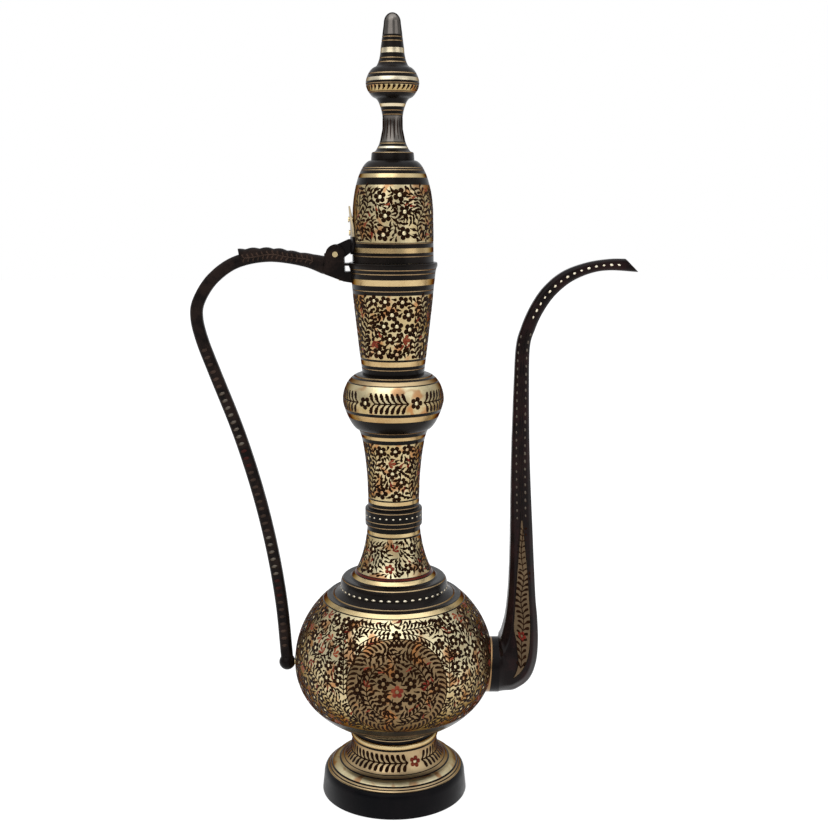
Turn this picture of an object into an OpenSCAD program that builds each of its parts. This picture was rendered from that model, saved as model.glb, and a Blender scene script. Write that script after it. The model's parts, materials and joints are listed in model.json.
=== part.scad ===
// Surahi: a tall brass ewer with a hinged lid, a bow handle and a swan-neck spout.
// Turned sections stack on spigots from the foot to the lip. z = 0 is the base of the
// foot, Z is the axis of the vessel, the spout points to +X and the handle to -X.

/* [Foot] */
// Height of the foot, from its base to the seat of the bowl
foot_h = 56.5; // [52:0.5:64]
// Radius of the foot at its base
foot_r = 58.4; // [54:0.2:66]
// Height of the plain rim round the base
foot_rim_h = 20.5; // [16:0.5:22]
// Radius at the top of the rim's rounded shoulder
foot_step_r = 53.4; // [51:0.2:53.6]
// Radius where the concave flare leaves the rim
foot_flare_r = 46.4; // [43:0.2:49]
// Radius of the waist under the bowl
foot_waist_r = 34; // [33:0.2:37]
// Radius of the short neck that carries the bowl
foot_neck_r = 33; // [32:0.2:33]
// Width of the flat ring that the foot stands on
foot_land = 4.5; // [3:0.5:8]

/* [Bowl] */
// Largest radius of the bowl
bowl_r = 79.5; // [72:0.5:88]
// Depth of the bowl below its widest level
bowl_under_h = 53; // [50:0.5:60]
// Height of the bowl above its widest level
bowl_over_h = 55.5; // [50:0.5:62]
// Radius of the flat underside that sits on the foot
bowl_seat_r = 36; // [34:0.5:40]
// Radius of the bowl where the shoulder ring sits
bowl_mouth_r = 52.6; // [51:0.2:56]

/* [Shoulder ring] */
// Height of the shoulder ring
shoulder_h = 14.5; // [12:0.5:18]
// Radius of the shoulder ring at the bowl
shoulder_base_r = 50; // [47:0.2:51]
// Radius of the beaded wall of the shoulder ring
shoulder_wall_r = 42.3; // [40:0.2:45]
// Radius of the top of the shoulder ring
shoulder_top_r = 39; // [37:0.2:40]

/* [Neck] */
// Height of the flared lower neck
lower_neck_h = 41.5; // [34:0.5:50]
// Radius of the flare at the shoulder ring
lower_neck_r = 35; // [33:0.2:36.5]
// Radius of the neck under the neck ring
neck_r = 20.8; // [20:0.2:22]
// Height of the neck ring
neck_ring_h = 15; // [12:0.5:20]
// Radius of the neck ring
neck_ring_r = 22.4; // [22.2:0.2:26]
// Height of the middle neck
mid_neck_h = 63; // [52:0.5:75]
// Radius at the foot of the middle neck
mid_neck_r = 20.1; // [19.5:0.1:21]
// Radius of the middle neck under the knop
mid_neck_top_r = 28.2; // [26.5:0.1:29]

/* [Knop] */
// Height of the knop
knop_h = 43; // [36:0.5:50]
// Largest radius of the knop
knop_r = 39.1; // [35:0.1:44]
// Radius at the foot of the knop
knop_base_r = 28.4; // [27.4:0.1:30]
// Height of the knop's widest level above its foot
knop_wide_h = 22.5; // [18:0.5:26]

/* [Mouth cup] */
// Height of the mouth cup up to its rim
cup_h = 85; // [75:0.5:96]
// Radius at the foot of the cup
cup_base_r = 23.9; // [23:0.1:25]
// Radius of the cup under its lip
cup_top_r = 32.4; // [31.6:0.1:33.2]
// Radius of the flared lip
lip_r = 33.9; // [33.6:0.1:36]
// Height of the flared lip
lip_h = 8; // [6:0.5:10]

/* [Lid] */
// Height of the lid from its edge to its flat crown
lid_h = 75.7; // [66:0.1:84]
// Radius of the lid at its edge
lid_r = 31; // [30.4:0.1:31.4]
// Height of the straight wall of the lid
lid_wall_h = 35; // [32:0.5:48]
// Radius of the flat crown under the finial
lid_crown_r = 16.6; // [16.2:0.1:21]
// Depth of the plug that hangs into the mouth
plug_h = 10; // [7:0.5:12]
// Radial gap between the plug and the mouth of the cup
plug_gap = 1.5; // [1.2:0.1:3]
// How far the plug tapers in towards its bottom
plug_taper = 1.1; // [0.5:0.1:2.5]

/* [Finial] */
// Height of the collar under the finial
collar_h = 6.2; // [5:0.1:10]
// Radius of the collar at its foot
collar_r = 16.3; // [15.5:0.1:16.5]
// Height of the finial above its collar
finial_h = 100.8; // [94:0.2:112]
// Radius at the foot of the finial's stem
stem_base_r = 14.4; // [13:0.1:15]
// Least radius of the stem
stem_r = 7.3; // [6.5:0.1:8.5]
// Height from the foot of the stem to its least radius
stem_waist_h = 20; // [17:0.5:23]
// Height from the foot of the stem to the widest level of the bulb
bulb_wide_h = 50; // [47:0.5:53]
// Largest radius of the bulb
bulb_r = 20; // [17:0.1:23]
// Radius of the spire where it leaves the bulb
spire_base_r = 8.7; // [8:0.1:10]
// Radius of the spire under its rounded tip
spire_tip_r = 6.3; // [5:0.1:7]

/* [Hinge] */
// Distance from the lip to the hinge pin
hinge_reach = 9.8; // [9:0.1:12]
// Height of the hinge pin above the rim of the cup
hinge_rise = 6.2; // [6:0.1:7.5]
// Radius of the hinge pin
pin_r = 1.75; // [1.2:0.05:2.2]
// Radius of the lid's knuckle
knuckle_r = 6.3; // [5.2:0.1:6.4]
// Width of the hinge block
block_w = 12; // [10:0.5:15]
// Depth of the hinge block below the pin
block_h = 22; // [20:0.5:25]
// How far the hinge block reaches behind the pin
block_back = 8.3; // [7.5:0.1:10]
// Width of the slot that takes the knuckle
slot_w = 5; // [4:0.1:6]
// Height of the leaf plate on the lid
leaf_h = 36; // [30:0.5:38]
// Width of the leaf plate
leaf_w = 24; // [18:0.5:30]
// Thickness of the leaf plate
leaf_t = 1.3; // [1:0.1:2]

/* [Handle] */
// Width of the handle bar, seen from the side
handle_w = 9.4; // [8:0.1:11]
// Depth of the handle bar across the vessel
handle_d = 8.4; // [7:0.1:9.8]
// How far the loop of the handle reaches beyond the hinge pin
handle_reach = 107; // [100:0.5:114]
// How far the lower stretch of the handle bows towards the bowl
handle_bow = 10.4; // [6:0.2:13]
// Height of the scallops along the crest of the handle
crest_h = 1; // [0.5:0.1:2.4]
// Number of scallops along the crest
crest_count = 6; // [4:1:8]
// Height of the step that ends the crest
crest_rise = 3.4; // [0.5:0.1:4]
// Level of the ball that ends the handle
ball_z = 107; // [98:0.5:118]
// Radius of the ball
ball_r = 6.5; // [5.6:0.1:7.5]

/* [Spout] */
// Level of the spout's hole in the bowl
spout_z = 105; // [101:0.5:111]
// Radius of the hole in the bowl
spout_hole_r = 13; // [11:0.1:15]
// Radius of the flange that seats on the bowl
flange_r = 22; // [20:0.1:23]
// Level of the top of the spout's lip
spout_top_z = 429.6; // [400:0.2:450]
// How far the lip of the spout reaches beyond its flange
spout_reach = 103.2; // [94:0.2:112]
// Bevel of the spout and handle edges, as a share of their half width
bevel = 0.42; // [0.25:0.01:0.55]
// Thickness of the spout's wall
spout_wall = 1.5; // [1:0.1:1.8]

/* [Walls and fits] */
// Thickness of the turned sections
wall = 2; // [1.6:0.1:2.4]
// Depth of the spigots between sections
spigot_h = 4; // [3:0.5:5]
// Thickness of the spigots
spigot_wall = 1.4; // [1:0.1:1.8]
// Distance from the outside of a section to the socket of its joint
joint_land = 3.9; // [3.4:0.1:4.2]
// Gap between pieces that are soldered, riveted or screwed together
fit_gap = 0.1; // [0.05:0.01:0.15]
// Gap between the lid and the vessel
lid_gap = 0.3; // [0.2:0.05:0.6]
// Radial gap between the hinge pin and its bores
pin_gap = 0.05; // [0.02:0.01:0.1]
// Radius of the finial's stud
stud_r = 3; // [2.5:0.1:3.5]
// Radius of the rivets
rivet_r = 1.3; // [1:0.05:1.5]

/* [Hidden] */
$fn = 96;

brass = [0.80, 0.68, 0.44];
lacquer = [0.10, 0.09, 0.10];
dark_lacquer = [0.15, 0.12, 0.12];

// Levels of the joints, from the foot up
z_bowl = foot_h;
z_wide = z_bowl + bowl_under_h;
z_shoulder = z_wide + bowl_over_h;
z_lower_neck = z_shoulder + shoulder_h;
z_neck_ring = z_lower_neck + lower_neck_h;
z_mid_neck = z_neck_ring + neck_ring_h;
z_knop = z_mid_neck + mid_neck_h;
z_cup = z_knop + knop_h;
z_rim = z_cup + cup_h;
z_lid = z_rim + lid_gap;
z_collar = z_lid + lid_h;
z_finial = z_collar + collar_h;

// Socket radii of the joints: the slimmer piece of each pair sets them
foot_socket_r = foot_neck_r - joint_land;
shoulder_socket_r = shoulder_base_r - joint_land;
lower_socket_r = lower_neck_r - joint_land;
ring_socket_r = neck_r - joint_land;
mid_socket_r = mid_neck_r - joint_land;
knop_socket_r = min(mid_neck_top_r, knop_base_r) - joint_land;
cup_socket_r = cup_base_r - joint_land;
socket_h = spigot_h + fit_gap;

// Superellipse of the underside of the bowl, a little fuller than an ellipse
under_power = 2.1;

// Hinge
pin_x = -(lip_r + hinge_reach);
pin_z = z_rim + hinge_rise;
pin_bore_r = pin_r + pin_gap;
side_gap = 0.3;
ear_r = knuckle_r + 1;
block_left_x = pin_x - block_back;
bar_drop = 0.377 * block_h;
pad_mid_drop = 0.805 * block_h;
leaf_lift = 1.2;
arm_top = 0.314 * leaf_h;
leaf_rivet_rise = [0.444 * leaf_h, 0.722 * leaf_h];
leaf_rivet_head_r = 1.6 * rivet_r;
leaf_bend = 0.6;
knuckle_clear = 0.5;
tab_drop = knuckle_r + knuckle_clear;
tab_t = 1.8;
block_rivet_y = block_w / 4;
block_rivet_z = pin_z - pad_mid_drop - 1;
block_rivet_head_r = 1.9 * rivet_r;

// Handle, from the pin to the ball. The loop is drawn for a reach of 1.
ball_x = -(bowl_r + ball_r + fit_gap);
ball_flat = ball_r * 0.7;
bar_start = [block_left_x, pin_z - bar_drop];
bar_end = [ball_x, ball_z + ball_flat];
bar_loop = handle_reach * [
    [-0.224, -0.041], [-0.477, -0.011], [-0.71, -0.058], [-0.879, -0.176], [-0.981, -0.332], [-1, -0.458],
    [-0.963, -0.626]
];
bar_turn = [pin_x, pin_z] - handle_reach * [0.879, 0.86];
head_flare = 2.2;
head_flare_len = 26;
crest_start = 5;
crest_len = 0.556 * handle_reach;
crest_power = 4;
stud_bore_r = 2;
peen_r = 2 * stud_bore_r;
peen_t = 1.2;

// Spout, measured from the face of its flange
flange_x = bowl_r + 4;
spout_bore_r = spout_hole_r - fit_gap - 2.4;

// Fastening of the finial
stud_depth = 20;
nut_h = 4;
nut_r = 2 * stud_r;

function reverse(list) = [for (i = [len(list) - 1:-1:0]) list[i]];
function last(list) = list[len(list) - 1];

// Concave moulding that leaves [r0, z0] level and reaches [r1, z1] upright
function cove(r0, z0, r1, z1, power = 2, steps = 8) = [
    for (i = [0:steps]) let (t = 90 * i / steps)
        [r1 + (r0 - r1) * (1 - pow(sin(t), 2 / power)), z1 + (z0 - z1) * pow(cos(t), 2 / power)]
];

// Convex moulding that leaves [r0, z0] upright and reaches [r1, z1] level
function ovolo(r0, z0, r1, z1, power = 2, steps = 8) = [
    for (i = [0:steps]) let (t = 90 * i / steps)
        [r1 + (r0 - r1) * pow(cos(t), 2 / power), z0 + (z1 - z0) * pow(sin(t), 2 / power)]
];

// Quadratic curve from p to q, drawn towards the control point c
function bend(p, c, q, steps = 8) = [
    for (i = [0:steps]) let (t = i / steps) (1 - t) * (1 - t) * p + 2 * t * (1 - t) * c + t * t * q
];

// Smooth curve through points of any dimension
function through(pts, steps) = concat([
    for (i = [0:len(pts) - 2], k = [0:steps - 1])
        let (
            t = k / steps,
            b = pts[i],
            c = pts[i + 1],
            a = i == 0 ? 2 * b - c : pts[i - 1],
            d = i == len(pts) - 2 ? 2 * c - b : pts[i + 2]
        )
        b + t / 2 * (c - a) + t * t / 2 * (2 * a - 5 * b + 4 * c - d) + t * t * t / 2 * (3 * b - a - 3 * c + d)
], [last(pts)]);

// Inside of a turned wall: the outer curve moved square to itself by w
function inset(curve, w) = [
    for (i = [0:len(curve) - 1])
        let (d = curve[min(i + 1, len(curve) - 1)] - curve[max(i - 1, 0)])
        curve[i] + w * [-d[1], d[0]] / norm(d)
];

// Inside radius of a turned wall at a level
function inside_r(outline, z) = lookup(z, [for (p = inset(outline, wall)) [p[1], p[0]]]);

// Where a flat head of radius r, set off the middle by y, meets the inside of a wall on the -X side
function head_seat(outline, z, y, r) = fit_gap - sqrt(pow(inside_r(outline, z - r), 2) - pow(y + r, 2));

function within(curve, z0, z1) = [for (p = curve) if (p[1] > z0 && p[1] < z1) p];

// Half section of a turned shell with a spigot below and a socket above
function shell(outer, spigot_r, socket_r) = let (
    z0 = outer[0][1],
    z1 = last(outer)[1],
    out_r = spigot_r - fit_gap,
    in_r = out_r - spigot_wall,
    inner = within(inset(outer, wall), z0 + wall, z1 - socket_h - 0.5)
) concat(
    [[in_r, z0 - spigot_h], [out_r, z0 - spigot_h], [out_r, z0]],
    outer,
    [[socket_r, z1], [socket_r, z1 - socket_h]],
    reverse(inner),
    [[in_r, z0 + wall]]
);

module turn(section) rotate_extrude() polygon(section);

// A plate drawn in the XZ plane, w thick across Y
module upright(w) rotate([90, 0, 0]) linear_extrude(height = w, center = true) children();

// A round bar along Y or along X
module along_y(r, w) rotate([90, 0, 0]) cylinder(r = r, h = w, center = true);
module along_x(r, x0, x1) translate([x0, 0, 0]) rotate([0, 90, 0]) cylinder(r = r, h = x1 - x0);

// Skin over rings of points that run one way round the path
module skin(rings) {
    n = len(rings[0]);
    m = len(rings);
    polyhedron(
        points = [for (ring = rings, p = ring) p],
        faces = concat(
            [[for (j = [0:n - 1]) j]],
            [for (i = [0:m - 2], j = [0:n - 1]) [i * n + j, (i + 1) * n + j, (i + 1) * n + (j + 1) % n]],
            [for (i = [0:m - 2], j = [0:n - 1]) [i * n + j, (i + 1) * n + (j + 1) % n, i * n + (j + 1) % n]],
            [[for (j = [n - 1:-1:0]) (m - 1) * n + j]]
        ),
        convexity = 6
    );
}

// Bevelled ring: half widths a1 and a2 along the side vector u, half depth b along Y
function bevelled(centre, u, a1, a2, b) = let (c = bevel * min(a1, b)) [
    for (p = [
        [a1, c - b], [a1, b - c], [a1 - c, b], [c - a2, b], [-a2, b - c], [-a2, c - b], [c - a2, -b], [a1 - c, -b]
    ]) [centre[0] + p[0] * u[0], p[1], centre[1] + p[0] * u[1]]
];

// Outlines of the turned sections

foot_outline = concat(
    [[foot_r - 0.8, 0], [foot_r, 1]],
    ovolo(foot_r - 1.4, foot_rim_h - 6.5, foot_step_r, foot_rim_h, 2, 5),
    [[foot_step_r - 0.8, foot_rim_h + 1], [foot_flare_r + 1.8, foot_rim_h + 5]],
    cove(foot_flare_r, foot_rim_h + 5.8, foot_waist_r, z_bowl - 10.5, 2, 8),
    [
        [foot_waist_r + 1, z_bowl - 10], [foot_waist_r + 1.2, z_bowl - 8.3], [foot_waist_r + 0.8, z_bowl - 6.5],
        [foot_neck_r, z_bowl - 5.8], [foot_neck_r, z_bowl]
    ]
);

seat_angle = acos(pow(bowl_seat_r / bowl_r, under_power / 2));
under_depth = bowl_under_h / pow(sin(seat_angle), 2 / under_power);
mouth_angle = acos(bowl_mouth_r / bowl_r);
over_depth = bowl_over_h / sin(mouth_angle);
bowl_outline = concat(
    [
        for (i = [14:-1:1]) let (t = seat_angle * i / 14)
            [bowl_r * pow(cos(t), 2 / under_power), z_wide - under_depth * pow(sin(t), 2 / under_power)]
    ],
    [for (i = [0:14]) let (t = mouth_angle * i / 14) [bowl_r * cos(t), z_wide + over_depth * sin(t)]]
);

shoulder_outline = concat(
    cove(shoulder_base_r, z_shoulder, shoulder_wall_r + 0.3, z_shoulder + 4.8, 1.3, 4),
    ovolo(shoulder_wall_r, z_shoulder + shoulder_h - 6, shoulder_top_r, z_lower_neck, 2, 5)
);

lower_neck_outline = cove(lower_neck_r, z_lower_neck, neck_r, z_neck_ring, 1.6, 14);

neck_ring_outline = [
    [neck_r + 0.4, z_neck_ring], [neck_r + 0.4, z_neck_ring + 1], [neck_ring_r, z_neck_ring + 1.6],
    [neck_ring_r, z_mid_neck - 1], [neck_ring_r - 1, z_mid_neck]
];

mid_neck_outline = concat(
    [[mid_neck_r, z_mid_neck]],
    reverse(cove(mid_neck_top_r, z_knop, mid_neck_r, z_mid_neck + 9, 1.75, 12))
);

knop_outline = concat(
    reverse([
        for (p = ovolo(knop_r, knop_wide_h, knop_base_r, 0, 1.4, 7)) [p[0], z_knop + p[1]]
    ]),
    [for (i = [1:8]) ovolo(knop_r, z_knop + knop_wide_h, cup_base_r + 0.6, z_cup, 2, 8)[i]]
);

cup_outline = concat(
    bend([cup_base_r, z_cup], [cup_base_r + 5, z_cup + 42], [cup_top_r, z_rim - lip_h], 8),
    [
        [cup_top_r + 0.3, z_rim - lip_h + 1.2], [lip_r, z_rim - 2.6], [lip_r, z_rim - 0.6],
        [lip_r - 0.7, z_rim]
    ]
);

lid_outline = concat(
    [[lid_r, z_lid]],
    ovolo(lid_r - 0.5, z_lid + lid_wall_h, lid_crown_r, z_collar, 1.85, 12)
);

finial_outline = concat(
    cove(stem_base_r, z_finial, stem_r, z_finial + stem_waist_h, 1.6, 7),
    reverse(cove(bulb_r - 6.6, z_finial + bulb_wide_h - 10.6, stem_r, z_finial + stem_waist_h + 2, 1.7, 7)),
    reverse([
        for (p = ovolo(bulb_r, 0, bulb_r - 6.4, -10.4, 1.5, 5)) [p[0], z_finial + bulb_wide_h + p[1]]
    ]),
    ovolo(
        bulb_r - 0.1, z_finial + bulb_wide_h + 0.6, spire_base_r + 4.4, z_finial + bulb_wide_h + 11.6, 1.6, 5
    ),
    cove(spire_base_r + 4, z_finial + bulb_wide_h + 12, spire_base_r, z_finial + bulb_wide_h + 25, 1.6, 5),
    ovolo(spire_tip_r, z_finial + finial_h - 7.5, 0, z_finial + finial_h, 2, 6)
);

module foot() color(lacquer) turn(concat(
    foot_outline,
    [[foot_socket_r, z_bowl], [foot_socket_r, z_bowl - socket_h]],
    reverse(within(inset(foot_outline, wall), 3, z_bowl - socket_h - wall)),
    [[foot_r - 0.8 - foot_land, 3], [foot_r - 0.8 - foot_land, 0]]
));

module bowl() color(brass) {
    spigot_out_r = foot_socket_r - fit_gap;
    difference() {
        turn(concat(
            [
                [0, z_bowl], [spigot_out_r - spigot_wall, z_bowl], [spigot_out_r - spigot_wall, z_bowl - spigot_h],
                [spigot_out_r, z_bowl - spigot_h], [spigot_out_r, z_bowl]
            ],
            bowl_outline,
            [[shoulder_socket_r, z_shoulder], [shoulder_socket_r, z_shoulder - socket_h]],
            reverse(within(inset(bowl_outline, wall), z_bowl + wall, z_shoulder - socket_h - 0.5)),
            [[0, z_bowl + wall]]
        ));
        translate([0, 0, spout_z]) along_x(spout_hole_r, bowl_r / 2, bowl_r + 1);
        translate([0, 0, ball_z]) along_x(stud_bore_r + fit_gap, -bowl_r - 1, -bowl_r / 2);
    }
}

module shoulder_ring() color(lacquer) turn(shell(shoulder_outline, shoulder_socket_r, lower_socket_r));

module lower_neck() color(brass) turn(shell(lower_neck_outline, lower_socket_r, ring_socket_r));

module neck_ring() color(lacquer) turn(shell(neck_ring_outline, ring_socket_r, mid_socket_r));

module mid_neck() color(brass) turn(shell(mid_neck_outline, mid_socket_r, knop_socket_r));

module knop() color(brass) turn(shell(knop_outline, knop_socket_r, cup_socket_r));

// Two rivets side by side through the cup's wall into the pad of the hinge block
module at_block_rivets() for (side = [-1, 1]) translate([0, side * block_rivet_y, block_rivet_z]) children();

module mouth_cup() color(brass) {
    out_r = cup_socket_r - fit_gap;
    difference() {
        turn(concat(
            [[out_r - spigot_wall, z_cup - spigot_h], [out_r, z_cup - spigot_h], [out_r, z_cup]],
            cup_outline,
            [[cup_top_r - wall, z_rim], [cup_top_r - wall, z_rim - lip_h]],
            reverse(within(inset(cup_outline, wall), z_cup + wall, z_rim - lip_h - 1)),
            [[out_r - spigot_wall, z_cup + wall]]
        ));
        at_block_rivets() along_x(rivet_r + fit_gap, pin_x, -cup_base_r / 2);
    }
}

// The saddle flange is cut to the bowl and carries a tube through the bowl's hole
module spout_collar() color(brass) difference() {
    union() {
        difference() {
            translate([0, 0, spout_z]) along_x(flange_r, bowl_r * 0.9, flange_x);
            turn(concat(
                [[0, z_bowl]],
                [for (p = bowl_outline) [p[0] + fit_gap / 2, p[1]]],
                [[0, z_shoulder]]
            ));
        }
        translate([0, 0, spout_z]) along_x(spout_hole_r - fit_gap, bowl_r - 9, flange_x);
    }
    translate([0, 0, spout_z]) along_x(spout_bore_r, bowl_r - 10, flange_x + 1);
}

// Stations of the spout: [upper x, upper z, under x, under z, half depth]. The root and the
// shaft are drawn for a flange radius of 1, and the tip for a reach of 1.
root_stations = [
    for (s = [
        [0, 1, 0, -1, 0.932], [0.05, 1.055, 0.636, -0.85, 0.864], [0.095, 1.155, 1.114, -0.455, 0.773],
        [0.141, 1.309, 1.359, 0.182, 0.682], [0.195, 1.545, 1.432, 0.955, 0.591],
        [0.259, 1.886, 1.395, 1.864, 0.509], [0.323, 2.5, 1.332, 2.5, 0.455]
    ]) flange_r * s + [flange_x, spout_z, flange_x, spout_z, 0]
];
tip_stations = [
    for (s = [
        [0.1076, -0.655, 0.2103, -0.655, 0.0504], [0.1444, -0.5078, 0.2461, -0.5213, 0.0484],
        [0.2122, -0.3488, 0.3014, -0.3973, 0.0475], [0.3101, -0.2045, 0.3876, -0.2723, 0.0455],
        [0.4506, -0.0911, 0.5087, -0.1686, 0.0446], [0.625, -0.0271, 0.6541, -0.1047, 0.0436],
        [0.7897, -0.0019, 0.7946, -0.0843, 0.0426], [0.9041, 0, 1, -0.0969, 0.0407]
    ]) spout_reach * s + [flange_x, spout_top_z, flange_x, spout_top_z, 0]
];
shaft_low = last(root_stations);
shaft_high = tip_stations[0];
// Share of the shaft's height, then upper x, under x and half depth
shaft_stations = concat(
    [shaft_low],
    [
        for (s = [
            [0.1, 0.368, 1.273, 0.418], [0.26, 0.386, 1.191, 0.373],
            [0.57, 0.391, 1.041, 0.3], [0.85, 0.445, 0.977, 0.255]
        ])
            let (z = shaft_low[1] + s[0] * (shaft_high[1] - shaft_low[1]))
            [flange_x + flange_r * s[1], z, flange_x + flange_r * s[2], z, flange_r * s[3]]
    ],
    [shaft_high]
);

function spout_ring(s, w) = let (
    span = [s[2] - s[0], s[3] - s[1]],
    half = norm(span) / 2 - w
) bevelled([(s[0] + s[2]) / 2, (s[1] + s[3]) / 2], span / norm(span), half, half, s[4] - w);

// A station moved on past an end, to cut the bore clean through
function beyond(s, near, by) = let (d = (s - near) * by / norm(s - near))
    [s[0] + d[0], s[1] + d[1], s[2] + d[2], s[3] + d[3], s[4]];

// Hollow length of spout: stations followed smoothly, with an even wall
module spout_length(stations, steps) {
    path = through(stations, steps);
    m = len(path);
    difference() {
        skin([for (s = path) spout_ring(s, 0)]);
        skin(concat(
            [spout_ring(beyond(path[0], path[1], 2), spout_wall)],
            [for (s = path) spout_ring(s, spout_wall)],
            [spout_ring(beyond(path[m - 1], path[m - 2], 2), spout_wall)]
        ));
    }
}

module spout_root() color(dark_lacquer) spout_length(root_stations, 3);

module spout_shaft() color(dark_lacquer) spout_length(shaft_stations, 3);

module spout_tip() color(dark_lacquer) spout_length(tip_stations, 3);

// Handle route: the loop at the top, then the lower stretch that bows to the ball
bar_lower = [
    for (f = [0.2:0.2:0.8])
        bar_turn + f * (bar_end - bar_turn) + [4 * handle_bow * f * (1 - f), 0]
];
bar_points = concat([bar_start], [for (p = bar_loop) [pin_x, pin_z] + p], [bar_turn], bar_lower, [bar_end]);
bar_fine = through(bar_points, 12);
bar_plain = through(bar_points, 8);
bar_path = concat(
    [for (i = [0:3 * 12 - 1]) bar_fine[i]],
    [for (i = [3 * 8:len(bar_plain) - 1]) bar_plain[i]]
);
function run_to(path, i) = i == 0 ? 0 : run_to(path, i - 1) + norm(path[i] - path[i - 1]);

// Direction of the bar: level where it leaves the block, upright where it meets the ball
function bar_way(i) =
    i == 0 ? [-1, 0] :
    i == len(bar_path) - 1 ? [0, -1] :
    let (d = bar_path[i + 1] - bar_path[i - 1]) d / norm(d);

function scallop(s) = let (f = (s - crest_start) / crest_len)
    f <= 0 || f >= 1 ? 0 :
    crest_rise * pow(f, crest_power) + crest_h * min(1, 2 * f) * abs(cos(180 * crest_count * (1 - f)));

module handle() color(dark_lacquer) skin([
    for (i = [0:len(bar_path) - 1])
        let (
            s = run_to(bar_path, i),
            way = bar_way(i),
            half = handle_w / 2 + head_flare * pow(max(0, 1 - s / head_flare_len), 2)
        )
        bevelled(bar_path[i], [way[1], -way[0]], half + scallop(s), half, handle_d / 2)
]);

module handle_ball() color(dark_lacquer) difference() {
    translate([ball_x, 0, ball_z]) sphere(r = ball_r);
    translate([ball_x, 0, ball_z + ball_flat + ball_r]) cube(2 * ball_r, center = true);
    translate([0, 0, ball_z]) along_x(stud_bore_r + fit_gap, ball_x, ball_x + 2 * ball_r);
}

// Stud through the bowl's wall into the ball, peened over inside the bowl
module handle_stud() color(brass) translate([0, 0, ball_z]) {
    peen_x = head_seat(bowl_outline, ball_z, 0, peen_r);
    along_x(stud_bore_r, ball_x + fit_gap, peen_x);
    along_x(peen_r, peen_x, peen_x + peen_t);
}

// Gusset between the handle bar and the cup, with two ears that hold the lid's knuckle
module hinge_block() color(dark_lacquer) difference() {
    pad_x = 2 * wall - pin_x - cup_top_r;
    union() {
        translate([pin_x, 0, pin_z]) upright(block_w) polygon([
            [-block_back, -0.682 * block_h], [hinge_reach - 3.6, -0.932 * block_h], [pad_x, -block_h],
            [pad_x, -0.586 * block_h], [hinge_reach - 2.7, -0.6 * block_h], [ear_r * 0.9, -ear_r * 0.41],
            [0, ear_r * 0.7], [-block_back, ear_r * 0.08]
        ]);
        translate([pin_x, 0, pin_z]) along_y(ear_r, block_w);
        translate([pin_x + ear_r * 0.6, -block_w / 2, pin_z - tab_drop - tab_t]) cube([hinge_reach, block_w, tab_t]);
    }
    translate([pin_x, 0, pin_z]) along_y(pin_bore_r, block_w + 2);
    translate([pin_x - 20, -slot_w / 2, pin_z - tab_drop]) cube([40, slot_w, 30]);
    turn(concat([[0, z_cup]], [for (p = cup_outline) [p[0] + fit_gap / 2, p[1]]], [[0, z_rim]]));
    at_block_rivets() along_x(rivet_r + fit_gap, pin_x + 2, -cup_base_r / 2);
}

module hinge_pin() color(brass) translate([pin_x, 0, pin_z]) {
    along_y(pin_r, block_w + 2 * fit_gap);
    for (side = [-1, 1]) translate([0, side * (block_w / 2 + fit_gap + 0.4), 0]) along_y(1.2 * pin_r, 0.8);
}

module block_rivets() color(brass) at_block_rivets() {
    head_x = head_seat(cup_outline, block_rivet_z, block_rivet_y, block_rivet_head_r);
    along_x(rivet_r, pin_x + 2.5, head_x);
    along_x(block_rivet_head_r, head_x, head_x + 1);
}

// Two rivets, one above the other, through the leaf plate and the lid's wall
module at_leaf_rivets() for (rise = leaf_rivet_rise) translate([0, 0, pin_z + rise]) children();

module lid_dome() color(brass) difference() {
    turn(concat(
        lid_outline,
        [[stud_r + fit_gap, z_collar], [stud_r + fit_gap, z_collar - wall], [nut_r + 1, z_collar - wall]],
        reverse(within(inset(lid_outline, wall), z_lid + wall, z_collar - wall)),
        [[lid_r - wall, z_lid]]
    ));
    at_leaf_rivets() along_x(rivet_r + fit_gap, -lid_r - 1, -lid_r / 2);
}

// The plug's sleeve is soldered into the lid, and its skirt hangs into the mouth of the cup
module lid_plug() color(brass) {
    sleeve_r = inside_r(lid_outline, z_lid + plug_h) - fit_gap;
    skirt_r = cup_top_r - wall - plug_gap;
    waist_r = min(sleeve_r, skirt_r) - wall;
    turn([
        [skirt_r - plug_taper - wall, z_rim - plug_h], [skirt_r - plug_taper, z_rim - plug_h], [skirt_r, z_lid],
        [sleeve_r, z_lid], [sleeve_r, z_lid + plug_h], [sleeve_r - wall, z_lid + plug_h],
        [waist_r, z_lid + wall], [waist_r, z_lid - wall]
    ]);
}

// Outline of the leaf plate across the lid: a pointed leaf with a rounded foot
function leaf_edge(side) = concat(
    bend([side * leaf_w / 4, 0], [side * leaf_w * 0.55, 2], [side * leaf_w / 2, leaf_h * 0.36], 6),
    bend([side * leaf_w / 2, leaf_h * 0.38], [side * leaf_w * 0.42, leaf_h * 0.72], [side * 0.6, leaf_h], 8)
);

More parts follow.
